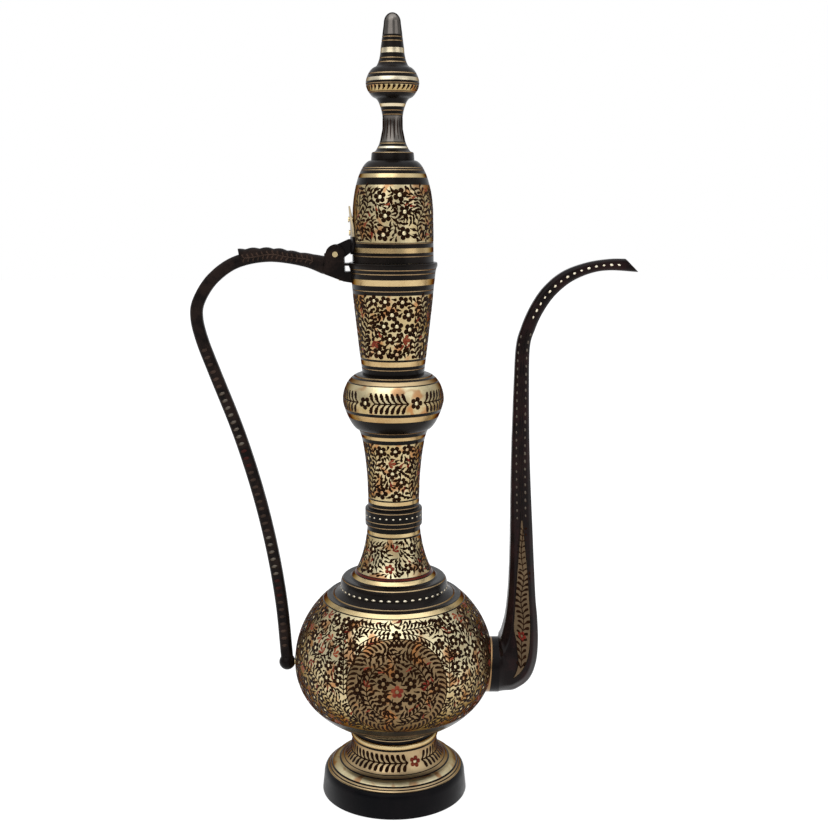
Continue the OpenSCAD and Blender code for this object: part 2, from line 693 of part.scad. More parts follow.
module hinge_leaf() color(brass) {
    leaf_r = lid_r + fit_gap;
    knuckle_w = slot_w - 2 * side_gap;
    arm_x = -leaf_r - pin_x;
    difference() {
        union() {
            intersection() {
                turn([
                    [leaf_r, pin_z], [leaf_r + leaf_t, pin_z], [leaf_r + leaf_t, pin_z + leaf_h * leaf_bend],
                    [leaf_r + leaf_t + leaf_lift, pin_z + leaf_h], [leaf_r + leaf_lift, pin_z + leaf_h],
                    [leaf_r, pin_z + leaf_h * leaf_bend]
                ]);
                translate([-lid_r - 10, 0, pin_z]) rotate([90, 0, 90]) linear_extrude(height = lid_r)
                    polygon(concat(leaf_edge(-1), reverse(leaf_edge(1))));
            }
            translate([pin_x, 0, pin_z]) along_y(knuckle_r, knuckle_w);
            translate([pin_x, 0, pin_z]) upright(knuckle_w) polygon([
                [knuckle_r * 0.73, -knuckle_r * 0.64], [arm_x - leaf_t / 3, 1.5], [arm_x - leaf_t / 3, arm_top],
                [arm_x - leaf_t - 1.4, arm_top], [-knuckle_r * 0.41, knuckle_r * 0.9], [0, 0]
            ]);
        }
        translate([pin_x, 0, pin_z]) along_y(pin_bore_r, block_w);
        at_leaf_rivets() along_x(rivet_r + fit_gap, -leaf_r - leaf_t - leaf_lift - 1, -lid_r / 2);
    }
}

// Flat-headed rivets, clenched inside the lid
module leaf_rivets() color(brass) for (rise = leaf_rivet_rise) translate([0, 0, pin_z + rise]) {
    lift = leaf_lift * max(0, (rise + leaf_rivet_head_r) / leaf_h - leaf_bend) / (1 - leaf_bend);
    head_x = -lid_r - 2 * fit_gap - leaf_t - lift;
    clench_x = head_seat(lid_outline, pin_z + rise, 0, leaf_rivet_head_r);
    along_x(rivet_r, head_x - 0.8, clench_x + 0.4);
    along_x(leaf_rivet_head_r, head_x - 0.8, head_x);
    along_x(leaf_rivet_head_r, clench_x, clench_x + 0.8);
}

module finial_collar() color(lacquer) turn([
    [stud_r + fit_gap, z_collar], [collar_r, z_collar], [collar_r, z_collar + 0.8],
    [collar_r - 0.4, z_finial - 1], [collar_r - 1.4, z_finial], [stud_r + fit_gap, z_finial]
]);

module finial() color(lacquer) turn(concat(
    [[stud_r + fit_gap, z_finial]],
    finial_outline,
    [[0, z_finial + stud_depth + 0.5], [stud_r + fit_gap, z_finial + stud_depth + 0.5]]
));

module finial_stud() color(brass)
    translate([0, 0, z_collar - wall - nut_h - 2]) cylinder(r = stud_r, h = wall + nut_h + 2 + collar_h + stud_depth);

module finial_nut() color(brass) translate([0, 0, z_collar - wall - fit_gap - nut_h]) difference() {
    cylinder(r = nut_r, h = nut_h, $fn = 6);
    translate([0, 0, -1]) cylinder(r = stud_r + pin_gap, h = nut_h + 2);
}

foot();
bowl();
shoulder_ring();
lower_neck();
neck_ring();
mid_neck();
knop();
mouth_cup();
spout_collar();
spout_root();
spout_shaft();
spout_tip();
handle();
handle_ball();
handle_stud();
hinge_block();
hinge_pin();
block_rivets();
lid_dome();
lid_plug();
hinge_leaf();
leaf_rivets();
finial_collar();
finial();
finial_stud();
finial_nut();
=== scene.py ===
"""Looks of a brass surahi: turned and engraved sections, a handle, a spout and a hinged lid.

Sizes are millimetres in the frame of the vessel: Z is its axis, the spout points to +X and the
front that faces the camera is -Y. Meshes are written in metres. Ornament is drawn flat, made by
one geometry node tree, and then laid on the surface that carries it.
"""

import json
import logging
import math
import random
from dataclasses import dataclass
from enum import Enum
from typing import Callable, ClassVar, Sequence

import bmesh
import bpy
import numpy as np
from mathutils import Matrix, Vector


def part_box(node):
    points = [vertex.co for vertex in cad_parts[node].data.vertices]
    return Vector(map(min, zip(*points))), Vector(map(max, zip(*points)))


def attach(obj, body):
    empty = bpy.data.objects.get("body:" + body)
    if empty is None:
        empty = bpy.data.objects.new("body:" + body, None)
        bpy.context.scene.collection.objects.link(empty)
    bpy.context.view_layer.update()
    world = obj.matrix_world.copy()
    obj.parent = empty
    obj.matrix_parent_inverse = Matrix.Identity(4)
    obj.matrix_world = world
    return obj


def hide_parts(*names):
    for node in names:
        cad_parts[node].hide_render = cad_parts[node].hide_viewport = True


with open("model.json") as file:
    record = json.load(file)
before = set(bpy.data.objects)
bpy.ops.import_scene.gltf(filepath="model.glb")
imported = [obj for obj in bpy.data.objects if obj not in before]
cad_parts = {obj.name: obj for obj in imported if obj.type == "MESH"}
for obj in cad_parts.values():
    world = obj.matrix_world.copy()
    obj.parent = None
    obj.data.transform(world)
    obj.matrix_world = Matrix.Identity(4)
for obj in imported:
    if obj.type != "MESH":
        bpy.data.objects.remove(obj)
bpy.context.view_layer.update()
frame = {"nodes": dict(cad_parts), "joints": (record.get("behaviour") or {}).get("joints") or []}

LOG = logging.getLogger("surahi")
MM = 0.001
VESSEL = "vessel"
LID = "lid"
TURN_SEGMENTS = 192
SHARP_ANGLE = math.radians(34)

Point = tuple[float, float]
Place = tuple[float, float, float]
Colour = tuple[float, float, float]
Array = np.ndarray
Piece = bpy.types.Object
Mesh = bpy.types.Mesh
Material = bpy.types.Material
Tree = bpy.types.NodeTree
Node = bpy.types.Node
Socket = bpy.types.NodeSocket
Inputs = dict[str | int, object]


class Skin(Enum):
    """What a stretch of turned surface is finished with."""

    BLACK = 0
    BRASS = 1
    GROUND = 2
    RED = 3
    DULL = 4
    SMOKED = 5


class Motif(Enum):
    """What a mark of an ornament drawing stands for."""

    FLOWER = 0
    LEAF = 1
    DOT = 2
    VINE = 3


class Tint(Enum):
    """Filling of an engraved mark."""

    BLACK = 0
    RED = 1
    BRASS = 2
    DULL = 3
    HEART = 4


# Outline curves


def quarter(power: float, steps: int) -> list[Point]:
    """Sines and cosines of a quarter turn, bowed by a power: 2 for an ellipse, less for a flatter curve."""
    turns = [math.pi / 2 * i / steps for i in range(steps + 1)]
    return [(math.sin(t) ** (2 / power), abs(math.cos(t)) ** (2 / power)) for t in turns]


def cove(r0: float, z0: float, r1: float, z1: float, power: float = 2.0, steps: int = 20) -> list[Point]:
    """Concave moulding that leaves its first radius and height level and reaches its last upright."""
    return [(r1 + (r0 - r1) * (1 - s), z1 + (z0 - z1) * c) for s, c in quarter(power, steps)]


def ovolo(r0: float, z0: float, r1: float, z1: float, power: float = 2.0, steps: int = 20) -> list[Point]:
    """Convex moulding that leaves its first radius and height upright and reaches its last level."""
    return [(r1 + (r0 - r1) * c, z0 + (z1 - z0) * s) for s, c in quarter(power, steps)]


def bend(start: Point, control: Point, end: Point, steps: int = 20) -> list[Point]:
    """Quadratic curve from a start to an end, drawn towards a control point."""
    p, c, q = (np.array(v, float) for v in (start, control, end))
    return [tuple((1 - t) ** 2 * p + 2 * t * (1 - t) * c + t * t * q) for t in np.linspace(0, 1, steps + 1)]


def through(points: Sequence[Sequence[float]], steps: int) -> Array:
    """Smooth curve through points of any dimension.

    Args:
        points: The points it passes.
        steps: Number of stretches between two of them.

    Returns:
        One row for each point of the curve.
    """
    pts = np.array(points, float)
    ends = np.vstack([2 * pts[0] - pts[1], pts, 2 * pts[-1] - pts[-2]])
    shares = [k / steps for k in range(steps)]
    rows = [
        b + t / 2 * (c - a) + t * t / 2 * (2 * a - 5 * b + 4 * c - d) + t ** 3 / 2 * (3 * b - a - 3 * c + d)
        for a, b, c, d in zip(ends, ends[1:], ends[2:], ends[3:]) for t in shares
    ]
    return np.array([*rows, pts[-1]])


def run_of(points: Array) -> Array:
    """Distance along a polyline at each of its points."""
    return np.concatenate([[0.0], np.cumsum(np.linalg.norm(np.diff(points, axis=0), axis=1))])


def along(values: Array, run: Array, place: Array) -> Array:
    """Rows of values at places along the run on which they lie."""
    return np.column_stack([np.interp(place, run, column) for column in values.T])


def square_to(way: Array) -> Array:
    """Unit vectors square to the given ones, one row each."""
    way = way / np.linalg.norm(way, axis=1, keepdims=True)
    return np.column_stack([way[:, 1], -way[:, 0]])


def top_of(node: str) -> float:
    """Height of the top of a CAD node, in millimetres."""
    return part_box(node)[1].z / MM


def reach_of(node: str) -> float:
    """Radius that a CAD node reaches across the vessel, in millimetres."""
    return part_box(node)[1].y / MM


# Meshes


def placed(name: str, data: bpy.types.ID) -> Piece:
    """Put a mesh, lamp or camera into the scene as a new object at the origin."""
    piece = bpy.data.objects.new(name, data)
    bpy.context.scene.collection.objects.link(piece)
    return piece


def applied(piece: Piece, modifier: bpy.types.Modifier) -> Mesh:
    """Give a piece the mesh that its modifier makes.

    Args:
        piece: The piece.
        modifier: Its only modifier, which is taken off.

    Returns:
        The new mesh, under the name of the old one.
    """
    graph = bpy.context.evaluated_depsgraph_get()
    mesh = bpy.data.meshes.new_from_object(piece.evaluated_get(graph))
    piece.modifiers.remove(modifier)
    old, piece.data = piece.data, mesh
    name = old.name
    bpy.data.meshes.remove(old)
    mesh.name = name
    return mesh


def new_piece(
    name: str, vertices: Sequence[Sequence[float]], faces: Sequence[Sequence[int]],
    materials: Sequence[Material], face_skins: Sequence[int] | None = None,
) -> Piece:
    """Make a smooth-shaded mesh object whose sharp edges stay sharp.

    Args:
        name: Name of the piece.
        vertices: Points in millimetres.
        faces: Corner lists that run outwards.
        materials: Materials of its slots.
        face_skins: Slot of each face, or the first slot for all.

    Returns:
        The new object, at the origin.
    """
    mesh = bpy.data.meshes.new(name)
    mesh.from_pydata((np.array(vertices, float) * MM).tolist(), [], faces)
    for material in materials:
        mesh.materials.append(material)
    if face_skins is not None:
        mesh.polygons.foreach_set("material_index", list(face_skins))
    mesh.polygons.foreach_set("use_smooth", [True] * len(mesh.polygons))
    mesh.set_sharp_from_angle(angle=SHARP_ANGLE)
    mesh.update()
    return placed(name, mesh)


def seat(piece: Piece, body: str, slot: str, *nodes: str) -> None:
    """Put a finished piece on its body.

    Args:
        piece: The finished piece.
        body: CAD body that it moves with.
        slot: Material slot of the record; not used.
        nodes: CAD nodes that it stands for.
    """
    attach(piece, body)
    if nodes:
        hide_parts(*nodes)
    LOG.info("%s rides %s with %d faces", piece.name, body, len(piece.data.polygons))


def lathe(
    name: str, loop: Sequence[Point], skins: Sequence[int], shades: Sequence[float],
    materials: Sequence[Material],
) -> Piece:
    """Turn a closed half section about the axis.

    Args:
        name: Name of the piece.
        loop: Radius and height of each corner, up the outside and down the inside.
        skins: Material slot of the stretch that follows each corner.
        shades: Painted shade at each corner, from 0 to 1, by which its brass darkens.
        materials: Materials of the slots.

    Returns:
        The turned piece. A loop that starts and ends on the axis closes in two poles.
    """
    angles = np.linspace(0, 2 * math.pi, TURN_SEGMENTS, endpoint=False)
    ring = np.stack([np.cos(angles), np.sin(angles)], axis=1)
    vertices: list[Array] = []
    starts: list[tuple[int, bool]] = []
    count = 0
    for r, z in loop:
        pole = r < 1e-6
        starts.append((count, pole))
        rows = np.array([[0.0, 0.0, z]]) if pole else np.column_stack([ring * r, np.full(TURN_SEGMENTS, z)])
        vertices.append(rows)
        count += len(rows)
    open_ends = starts[0][1] and starts[-1][1]
    faces: list[tuple[int, ...]] = []
    face_skins: list[int] = []
    for i in range(len(loop) - 1 if open_ends else len(loop)):
        (a, a_pole), (b, b_pole) = starts[i], starts[(i + 1) % len(loop)]
        for j in range(TURN_SEGMENTS):
            k = (j + 1) % TURN_SEGMENTS
            if a_pole:
                faces.append((a, b + k, b + j))
            elif b_pole:
                faces.append((a + j, a + k, b))
            else:
                faces.append((a + j, a + k, b + k, b + j))
            face_skins.append(skins[i])
    piece = new_piece(name, np.vstack(vertices), faces, materials, face_skins)
    # Painted shade: each vertex keeps how far its brass darkens, most where the outline faces down.
    shade = [shades[i] for i, (_, pole) in enumerate(starts) for _ in range(1 if pole else TURN_SEGMENTS)]
    piece.data.attributes.new("tarnish", "FLOAT", "POINT").data.foreach_set("value", shade)
    return piece


def loft(name: str, outer: Array, materials: Sequence[Material], bore: Array | None = None) -> Piece:
    """Skin a row of rings, solid or with a bore.

    Args:
        name: Name of the piece.
        outer: Rings of points, as an array of ring, point and coordinate.
        materials: Materials of the slots.
        bore: Rings of the inside wall, as many as outside, or none for a solid bar.

    Returns:
        The closed piece.
    """
    count, sides, _ = outer.shape
    vertices = outer.reshape(-1, 3)
    faces: list[tuple[int, ...]] = []

    def wall(first: int, second: int) -> None:
        """Add the faces between two rings, by the places of their first points."""
        for j in range(sides):
            k = (j + 1) % sides
            faces.append((first + j, first + k, second + k, second + j))

    starts = range(0, count * sides, sides)
    for a, b in zip(starts, starts[1:]):
        wall(a, b)
    ends = (starts[0], starts[-1])
    if bore is None:
        faces += [tuple(range(end, end + sides)) for end in ends]
    else:
        inside = len(vertices)
        vertices = np.vstack([vertices, bore.reshape(-1, 3)])
        for a, b in zip(starts, starts[1:]):
            wall(inside + a, inside + b)
        for end in ends:
            wall(end, inside + end)
    piece = new_piece(name, vertices, faces, materials)
    face_outwards(piece)
    return piece


def face_outwards(piece: Piece) -> None:
    """Turn the faces of a closed mesh outwards and keep its sharp edges.

    Args:
        piece: The closed piece.
    """
    mesh = bmesh.new()
    mesh.from_mesh(piece.data)
    bmesh.ops.recalc_face_normals(mesh, faces=mesh.faces)
    mesh.to_mesh(piece.data)
    mesh.free()
    piece.data.set_sharp_from_angle(angle=SHARP_ANGLE)


# Node trees


class NodeNet:
    """Short-hand for filling a node tree."""

    def __init__(self, tree: Tree) -> None:
        """Keep the tree that is filled."""
        self.tree = tree

    def add(self, kind: str, inputs: Inputs | None = None, **settings: object) -> Node:
        """Add a node.

        Args:
            kind: Type name of the node.
            inputs: Value or output socket for each input, by name or place.
            settings: Other properties of the node.

        Returns:
            The new node.
        """
        node = self.tree.nodes.new(kind)
        for key, value in settings.items():
            setattr(node, key, value)
        self.fill(node, inputs or {})
        return node

    def out(self, kind: str, inputs: Inputs | None = None, **settings: object) -> Socket:
        """Add a node as add does, and return its first output."""
        return self.add(kind, inputs, **settings).outputs[0]

    def fill(self, node: Node, inputs: Inputs) -> None:
        """Feed the inputs of a node, by name or place."""
        for key, value in inputs.items():
            self.feed(node.inputs[key], value)

    def feed(self, socket: Socket, value: object) -> None:
        """Link an output socket to an input, or set the input's own value."""
        if isinstance(value, Socket):
            self.tree.links.new(value, socket)
        else:
            socket.default_value = value

    def math(self, operation: str, first: object, second: object = 0.0) -> Socket:
        """Add a Math node and return its value."""
        return self.out("ShaderNodeMath", {0: first, 1: second}, operation=operation)

    def times(self, first: object, second: object) -> Socket:
        """Multiply two values."""
        return self.math("MULTIPLY", first, second)

    def ramp(self, value: Socket, span: Point, target: Point = (0, 1), smooth: bool = False) -> Socket:
        """Map a value from one span to another, easing in and out where it is smooth."""
        inputs = dict(enumerate((value, *span, *target)))
        kind = "SMOOTHSTEP" if smooth else "LINEAR"
        return self.out("ShaderNodeMapRange", inputs, interpolation_type=kind)

    def mix(self, share: object, first: object, second: object) -> Socket:
        """Add a colour mix and return its colour; a colour is a socket or three numbers."""
        node = self.add("ShaderNodeMix", {0: share}, data_type="RGBA")
        for place, value in ((6, first), (7, second)):
            self.feed(node.inputs[place], (*value, 1) if isinstance(value, tuple) else value)
        return node.outputs[2]


def new_group(
    name: str, kind: str, inputs: dict[str, float | str], outputs: dict[str, str]
) -> tuple[NodeNet, bpy.types.NodeOutputs, bpy.types.NodeInputs]:
    """Make an empty node group with named sockets.

    Args:
        name: Name of the group.
        kind: Type name of the tree.
        inputs: Default of each input, or its socket type where it isn't a number.
        outputs: Socket type of each output.

    Returns:
        A net that fills it, what it is given, and the sockets of its results.
    """
    tree = bpy.data.node_groups.new(name, kind)
    numbers = {float: "NodeSocketFloat", int: "NodeSocketInt"}
    for label, value in inputs.items():
        socket = numbers.get(type(value), value)
        item = tree.interface.new_socket(label, in_out="INPUT", socket_type=socket)
        if socket != value:
            item.default_value = value
    for label, socket in outputs.items():
        tree.interface.new_socket(label, in_out="OUTPUT", socket_type=socket)
    net = NodeNet(tree)
    return net, net.add("NodeGroupInput").outputs, net.add("NodeGroupOutput").inputs


def lathe_grain_group() -> Tree:
    """Fine rings left by the turning tool, as a height that follows the axis of the vessel.

    Returns:
        A shader group.
    """
    net, given, result = new_group(
        "lathe_grain", "ShaderNodeTree",
        {"Ring Width": 0.5, "Waver": 0.3}, {"Height": "NodeSocketFloat"},
    )
    place = net.add("ShaderNodeTexCoord").outputs["Object"]
    axes = net.add("ShaderNodeSeparateXYZ", {0: place}).outputs
    across = net.out("ShaderNodeCombineXYZ", {0: axes[0], 1: axes[1]})
    radius = net.add("ShaderNodeVectorMath", {0: across}, operation="LENGTH").outputs["Value"]
    rate = net.math("DIVIDE", 1 / MM, given["Ring Width"])
    level = net.times(net.math("ADD", axes[2], radius), rate)
    waver = net.out("ShaderNodeTexNoise", {"Vector": place, "Scale": 60.0, "Detail": 2.0})
    shifted = net.math("ADD", level, net.times(waver, given["Waver"]))
    rings = {"W": shifted, "Scale": 1.0, "Detail": 4.0, "Roughness": 0.6}
    net.feed(result["Height"], net.out("ShaderNodeTexNoise", rings, noise_dimensions="1D"))
    return net.tree


def patina_group() -> Tree:
    """Cloudy patina, soft over broad patches and speckled close up, and blots for stains.

    Returns:
        A shader group.
    """
    net, given, result = new_group(
        "patina", "ShaderNodeTree",
        {"Patch Size": 18.0, "Speckle": 0.35},
        {"Mask": "NodeSocketFloat", "Speckle": "NodeSocketFloat", "Stain": "NodeSocketFloat"},
    )
    place = net.add("ShaderNodeTexCoord").outputs["Object"]
    patch_rate = net.math("DIVIDE", 1 / MM, given["Patch Size"])
    cloud = net.out("ShaderNodeTexNoise", {"Vector": place, "Scale": patch_rate, "Detail": 3.0})
    speck = net.out("ShaderNodeTexNoise", {"Vector": place, "Scale": 900.0, "Detail": 2.0})
    fine = net.times(net.math("SUBTRACT", speck, 0.5), given["Speckle"])
    blot = {"Vector": place, "Scale": 85.0, "Detail": 1.0, "Distortion": 0.6}
    net.feed(result["Mask"], net.ramp(net.math("ADD", cloud, fine), (0.36, 0.68), smooth=True))
    net.feed(result["Speckle"], speck)
    net.feed(result["Stain"], net.ramp(net.out("ShaderNodeTexNoise", blot), (0.53, 0.7), smooth=True))
    return net.tree


def blank_material(name: str) -> tuple[Material, NodeNet, Node]:
    """Start a material.

    Args:
        name: Name of the material.

    Returns:
        The material, a net that fills it, and its shader node.
    """
    material = bpy.data.materials.new(name)
    material.use_nodes = True
    net = NodeNet(material.node_tree)
    return material, net, material.node_tree.nodes["Principled BSDF"]


@dataclass(frozen=True)
class BrassFinish:
    """Polished brass under clear lacquer, with turning marks, patina, stains of the red filling and painted
    shade where it faces down.
    """

    name: str
    colour: Colour
    tarnish: Colour
    roughness: float = 0.26
    ring_width: float = 0.45
    grain: float = 0.06
    patch_size: float = 20.0
    stain: float = 0.0
    stain_colour: Colour = (0.44, 0.17, 0.05)
    rim: float = 0.85
    rim_colour: Colour = (0.15, 0.085, 0.04)

    def material(self, groups: dict[str, Tree]) -> Material:
        """Build the material.

        Args:
            groups: Shared shader groups by name.

        Returns:
            A node-based material.
        """
        material, net, shader = blank_material(self.name)
        patina = net.add("ShaderNodeGroup", {"Patch Size": self.patch_size}, node_tree=groups["patina"])
        mask, speckle, stain = patina.outputs
        grain = net.out("ShaderNodeGroup", {"Ring Width": self.ring_width}, node_tree=groups["lathe_grain"])
        # Painted shade from the mesh darkens the brass where it faces down, added to the random patina
        # cloud.
        shade = net.add("ShaderNodeAttribute", attribute_name="tarnish").outputs["Fac"]
        patina_and_shade = net.out("ShaderNodeClamp", {0: net.math("ADD", net.times(mask, 0.35), shade)})
        tone = net.mix(patina_and_shade, self.colour, self.tarnish)
        if self.stain:
            tone = net.mix(net.times(stain, self.stain), tone, self.stain_colour)
        # Painted shade: edges seen at a grazing angle darken towards the rim colour.
        facing = net.add("ShaderNodeLayerWeight", {"Blend": 0.5}).outputs["Facing"]
        rim = net.ramp(facing, (0.2, 0.85), (0, self.rim), True)
        rings = {"Height": grain, "Strength": self.grain, "Distance": 0.2 * MM}
        net.fill(shader, {
            "Base Color": net.mix(rim, tone, self.rim_colour),
            "Roughness": net.ramp(speckle, (0, 1), (self.roughness - 0.06, self.roughness + 0.1)),
            "Normal": net.out("ShaderNodeBump", rings),
            "Metallic": 1.0,
            "Specular Tint": (*self.rim_colour, 1),
        })
        return material


@dataclass(frozen=True)
class LacquerFinish:
    """Baked lacquer: a dark coat that thins to a warmer tone in patches."""

    name: str
    colour: Colour
    thin: Colour
    roughness: float = 0.24
    shine: float = 0.12
    patch_size: float = 26.0
    dimple: float = 0.05

    def material(self, groups: dict[str, Tree]) -> Material:
        """Build the material.

        Args:
            groups: Shared shader groups by name.

        Returns:
            A node-based material.
        """
        material, net, shader = blank_material(self.name)
        patina = net.add("ShaderNodeGroup", {"Patch Size": self.patch_size}, node_tree=groups["patina"])
        mask, speckle, _ = patina.outputs
        dents = {"Height": speckle, "Strength": self.dimple, "Distance": 0.3 * MM}
        net.fill(shader, {
            "Base Color": net.mix(mask, self.colour, self.thin),
            "Roughness": net.ramp(mask, (0, 1), (self.roughness, self.roughness + 0.14)),
            "Normal": net.out("ShaderNodeBump", dents),
            "Specular IOR Level": self.shine,
            "Specular Tint": (0.5, 0.49, 0.48, 1),
        })
        return material


@dataclass(frozen=True)
class ParcelFinish:
    """Brass within a distance of a point, and lacquer beyond it; a far point makes the line straight."""

    name: str
    brass: Colour
    lacquer: Colour
    centre: Place
    reach: float

    def material(self, groups: dict[str, Tree]) -> Material:
        """Build the material.

        Args:
            groups: Shared shader groups by name.

        Returns:
            A node-based material.
        """
        material, net, shader = blank_material(self.name)
        speckle = net.add("ShaderNodeGroup", node_tree=groups["patina"]).outputs["Speckle"]
        place = net.add("ShaderNodeTexCoord").outputs["Object"]
        centre = tuple(value * MM for value in self.centre)
        away = net.add("ShaderNodeVectorMath", {0: place, 1: centre}, operation="DISTANCE").outputs["Value"]
        bright = net.math("LESS_THAN", away, self.reach * MM)
        net.fill(shader, {
            "Base Color": net.mix(bright, self.lacquer, self.brass),
            "Metallic": bright,
            "Roughness": net.ramp(speckle, (0, 1), (0.22, 0.36)),
            "Specular IOR Level": 0.08,
        })
        return material


FINISHES = (
    BrassFinish("plain_brass", (0.77, 0.61, 0.33), (0.42, 0.26, 0.11)),
    BrassFinish("bright_brass", (0.88, 0.80, 0.62), (0.66, 0.54, 0.34), 0.3, rim=0.4),
    BrassFinish("worn_brass", (0.54, 0.40, 0.225), (0.27, 0.165, 0.08), 0.36),
    BrassFinish("engraved_brass", (0.82, 0.72, 0.46), (0.42, 0.29, 0.115), 0.35, 0.6, 0.1, 16.0, 0.75),
    BrassFinish("medallion_brass", (0.245, 0.165, 0.085), (0.14, 0.08, 0.034), 0.34, 0.6, 0.1, 12.0, 0.75),
    BrassFinish("panel_brass", (0.16, 0.11, 0.064), (0.035, 0.021, 0.014), 0.4, 0.6, 0.1, 40.0),
    BrassFinish("dull_brass", (0.13, 0.112, 0.09), (0.07, 0.045, 0.035), 0.42, 0.6, 0.1, 12.0),
    # Smoked brass, whose edges seen at a grazing angle are painted nearly black as shade.
    BrassFinish(
        "smoked_brass", (0.21, 0.19, 0.17), (0.10, 0.088, 0.08), 0.18,
        rim=0.9, rim_colour=(0.02, 0.02, 0.024),
    ),
    LacquerFinish("black_lacquer", (0.0052, 0.0037, 0.003), (0.011, 0.0075, 0.006), 0.24, 0.16),
    LacquerFinish("foot_lacquer", (0.003, 0.003, 0.004), (0.006, 0.005, 0.006), 0.3, 0.1),
    LacquerFinish("red_lacquer", (0.17, 0.019, 0.011), (0.28, 0.065, 0.028), 0.28, 0.1),
    LacquerFinish("band_lacquer", (0.07, 0.010, 0.008), (0.13, 0.022, 0.012), 0.28, 0.1),
    LacquerFinish("dash_lacquer", (0.026, 0.0055, 0.0045), (0.045, 0.012, 0.009), 0.3, 0.1),
    LacquerFinish("carved_lacquer", (0.036, 0.023, 0.017), (0.06, 0.036, 0.026), 0.4, 0.1, 9.0),
    LacquerFinish("handle_lacquer", (0.0055, 0.0037, 0.0035), (0.017, 0.010, 0.008), 0.32, 0.13, 9.0, 0.2),
    LacquerFinish("spout_lacquer", (0.006, 0.0035, 0.0035), (0.017, 0.006, 0.006), 0.26, 0.2, 14.0, 0.1),
    LacquerFinish("inlay_lacquer", (0.013, 0.0038, 0.001), (0.024, 0.008, 0.0025), 0.38, 0.05, 12.0),
    ParcelFinish("collar_brass", (0.28, 0.17, 0.08), (0.005, 0.004, 0.004), (0.0, 0.0, 109.5), 80.4),
    ParcelFinish("leaf_brass", (0.30, 0.24, 0.15), (0.008, 0.006, 0.006), (0.0, 0.0, 1446.0), 1000.0),
)


class Palette:
    """Every finish of the vessel, built once."""

    def __init__(self) -> None:
        """Build the shared groups and the materials."""
        groups = {"patina": patina_group(), "lathe_grain": lathe_grain_group()}
        self.finishes = {finish.name: finish.material(groups) for finish in FINISHES}

    def __getitem__(self, name: str) -> Material:
        """Give the material of a finish."""
        return self.finishes[name]

    def turned(self, coat: str, bare: str) -> list[Material]:
        """Materials of a turned piece with the given black coat and plain brass, in the order of Skin."""
        names = (coat, bare, "engraved_brass", "band_lacquer", "worn_brass", "smoked_brass")
        return [self.finishes[name] for name in names]


# Surfaces that carry ornament


class Surface:
    """A surface that a flat drawing is laid on."""

    period: float = 0.0

    def scale_at(self, y: Array | float) -> Array | float:
        """True width of a drawn millimetre across, at a place along the run."""
        return np.ones_like(np.asarray(y, float))

    def wrap(self, x: Array, y: Array, lift: Array) -> Array:
        """Lay drawn points on the surface at a height over it, and give them in millimetres."""
        raise NotImplementedError


class TurnedSurface(Surface):
    """The outside of a turned piece: drawn x runs round it from the front, drawn y up its outline."""

    def __init__(self, outline: Sequence[Point], level: float | None = None) -> None:
        """Measure the outline along its run.

        Args:
            outline: Outside of the half section, from the bottom up.
            level: Height where drawn widths are true; the widest place if none is given.
        """
        points = np.array(outline, float)
        keep = np.concatenate([[True], np.linalg.norm(np.diff(points, axis=0), axis=1) > 1e-6])
        self.points = points[keep]
        self.run = run_of(self.points)
        self.girth = float(self.points[:, 0].max())
        if level is not None:
            self.girth = float(np.interp(level, self.points[:, 1], self.points[:, 0]))
        self.period = 2 * math.pi * self.girth

    def at(self, run: Array) -> tuple[Array, Array]:
        """Outline points and their outward normals.

        Args:
            run: Distances along the outline.

        Returns:
            Radius and height, and the normal, one row each.
        """
        run, step = np.asarray(run, float), 0.4
        way = along(self.points, self.run, run + step) - along(self.points, self.run, run - step)
        return along(self.points, self.run, run), square_to(way)

    def run_at(self, level: float) -> float:
        """Distance along the outline at a height."""
        return float(np.interp(level, self.points[:, 1], self.run))

    def scale_at(self, y: Array | float) -> Array | float:
        """True width of a drawn millimetre across, at a place along the run."""
        return np.interp(y, self.run, self.points[:, 0]) / self.girth

    def wrap(self, x: Array, y: Array, lift: Array) -> Array:
        """Lay drawn points round the vessel.

        Args:
            x, y: Drawn places.
            lift: Heights over the surface.

        Returns:
            Points in millimetres.
        """
        place, normal = self.at(y)
        place = place + normal * lift[:, None]
        angle = x / self.girth - math.pi / 2
        return np.column_stack([place[:, 0] * np.cos(angle), place[:, 0] * np.sin(angle), place[:, 1]])


class SweptFace(Surface):
    """A side face of the handle or spout: drawn x runs along its path, drawn y across it."""

    def __init__(self, path: Array, across: Array, depth: Array, side: int) -> None:
        """Keep the path in the XZ plane, the way across it, the half depths and the side, 1 at the back."""
        self.path, self.across, self.depth, self.side = path, across, depth, side
        self.run = run_of(path)

    def wrap(self, x: Array, y: Array, lift: Array) -> Array:
        """Lay drawn points on the face.

        Args:
            x, y: Drawn places.
            lift: Heights over the face.

        Returns:
            Points in millimetres.
        """
        place = along(self.path, self.run, x) + along(self.across, self.run, x) * y[:, None]
        depth = np.interp(x, self.run, self.depth) + lift
        return np.column_stack([place[:, 0], self.side * depth, place[:, 1]])


# Ornament


@dataclass(frozen=True)
class OrnamentSizes:
    """Sizes of the marks of one ornament, in millimetres."""

    flower: float = 10.0
    leaf_length: float = 4.4
    leaf_width: float = 2.2
    leaf_curl: float = 1.8
    splay: float = math.radians(37)
    spacing: float = 3.7
    stem: float = 0.9
    dot_length: float = 2.2
    dot_width: float = 1.7
    relief: float = 0.13
    fill_gap: float = 0.5
    lift: float = 0.0
    heart: str = "engraved_brass"
    red: str = "red_lacquer"


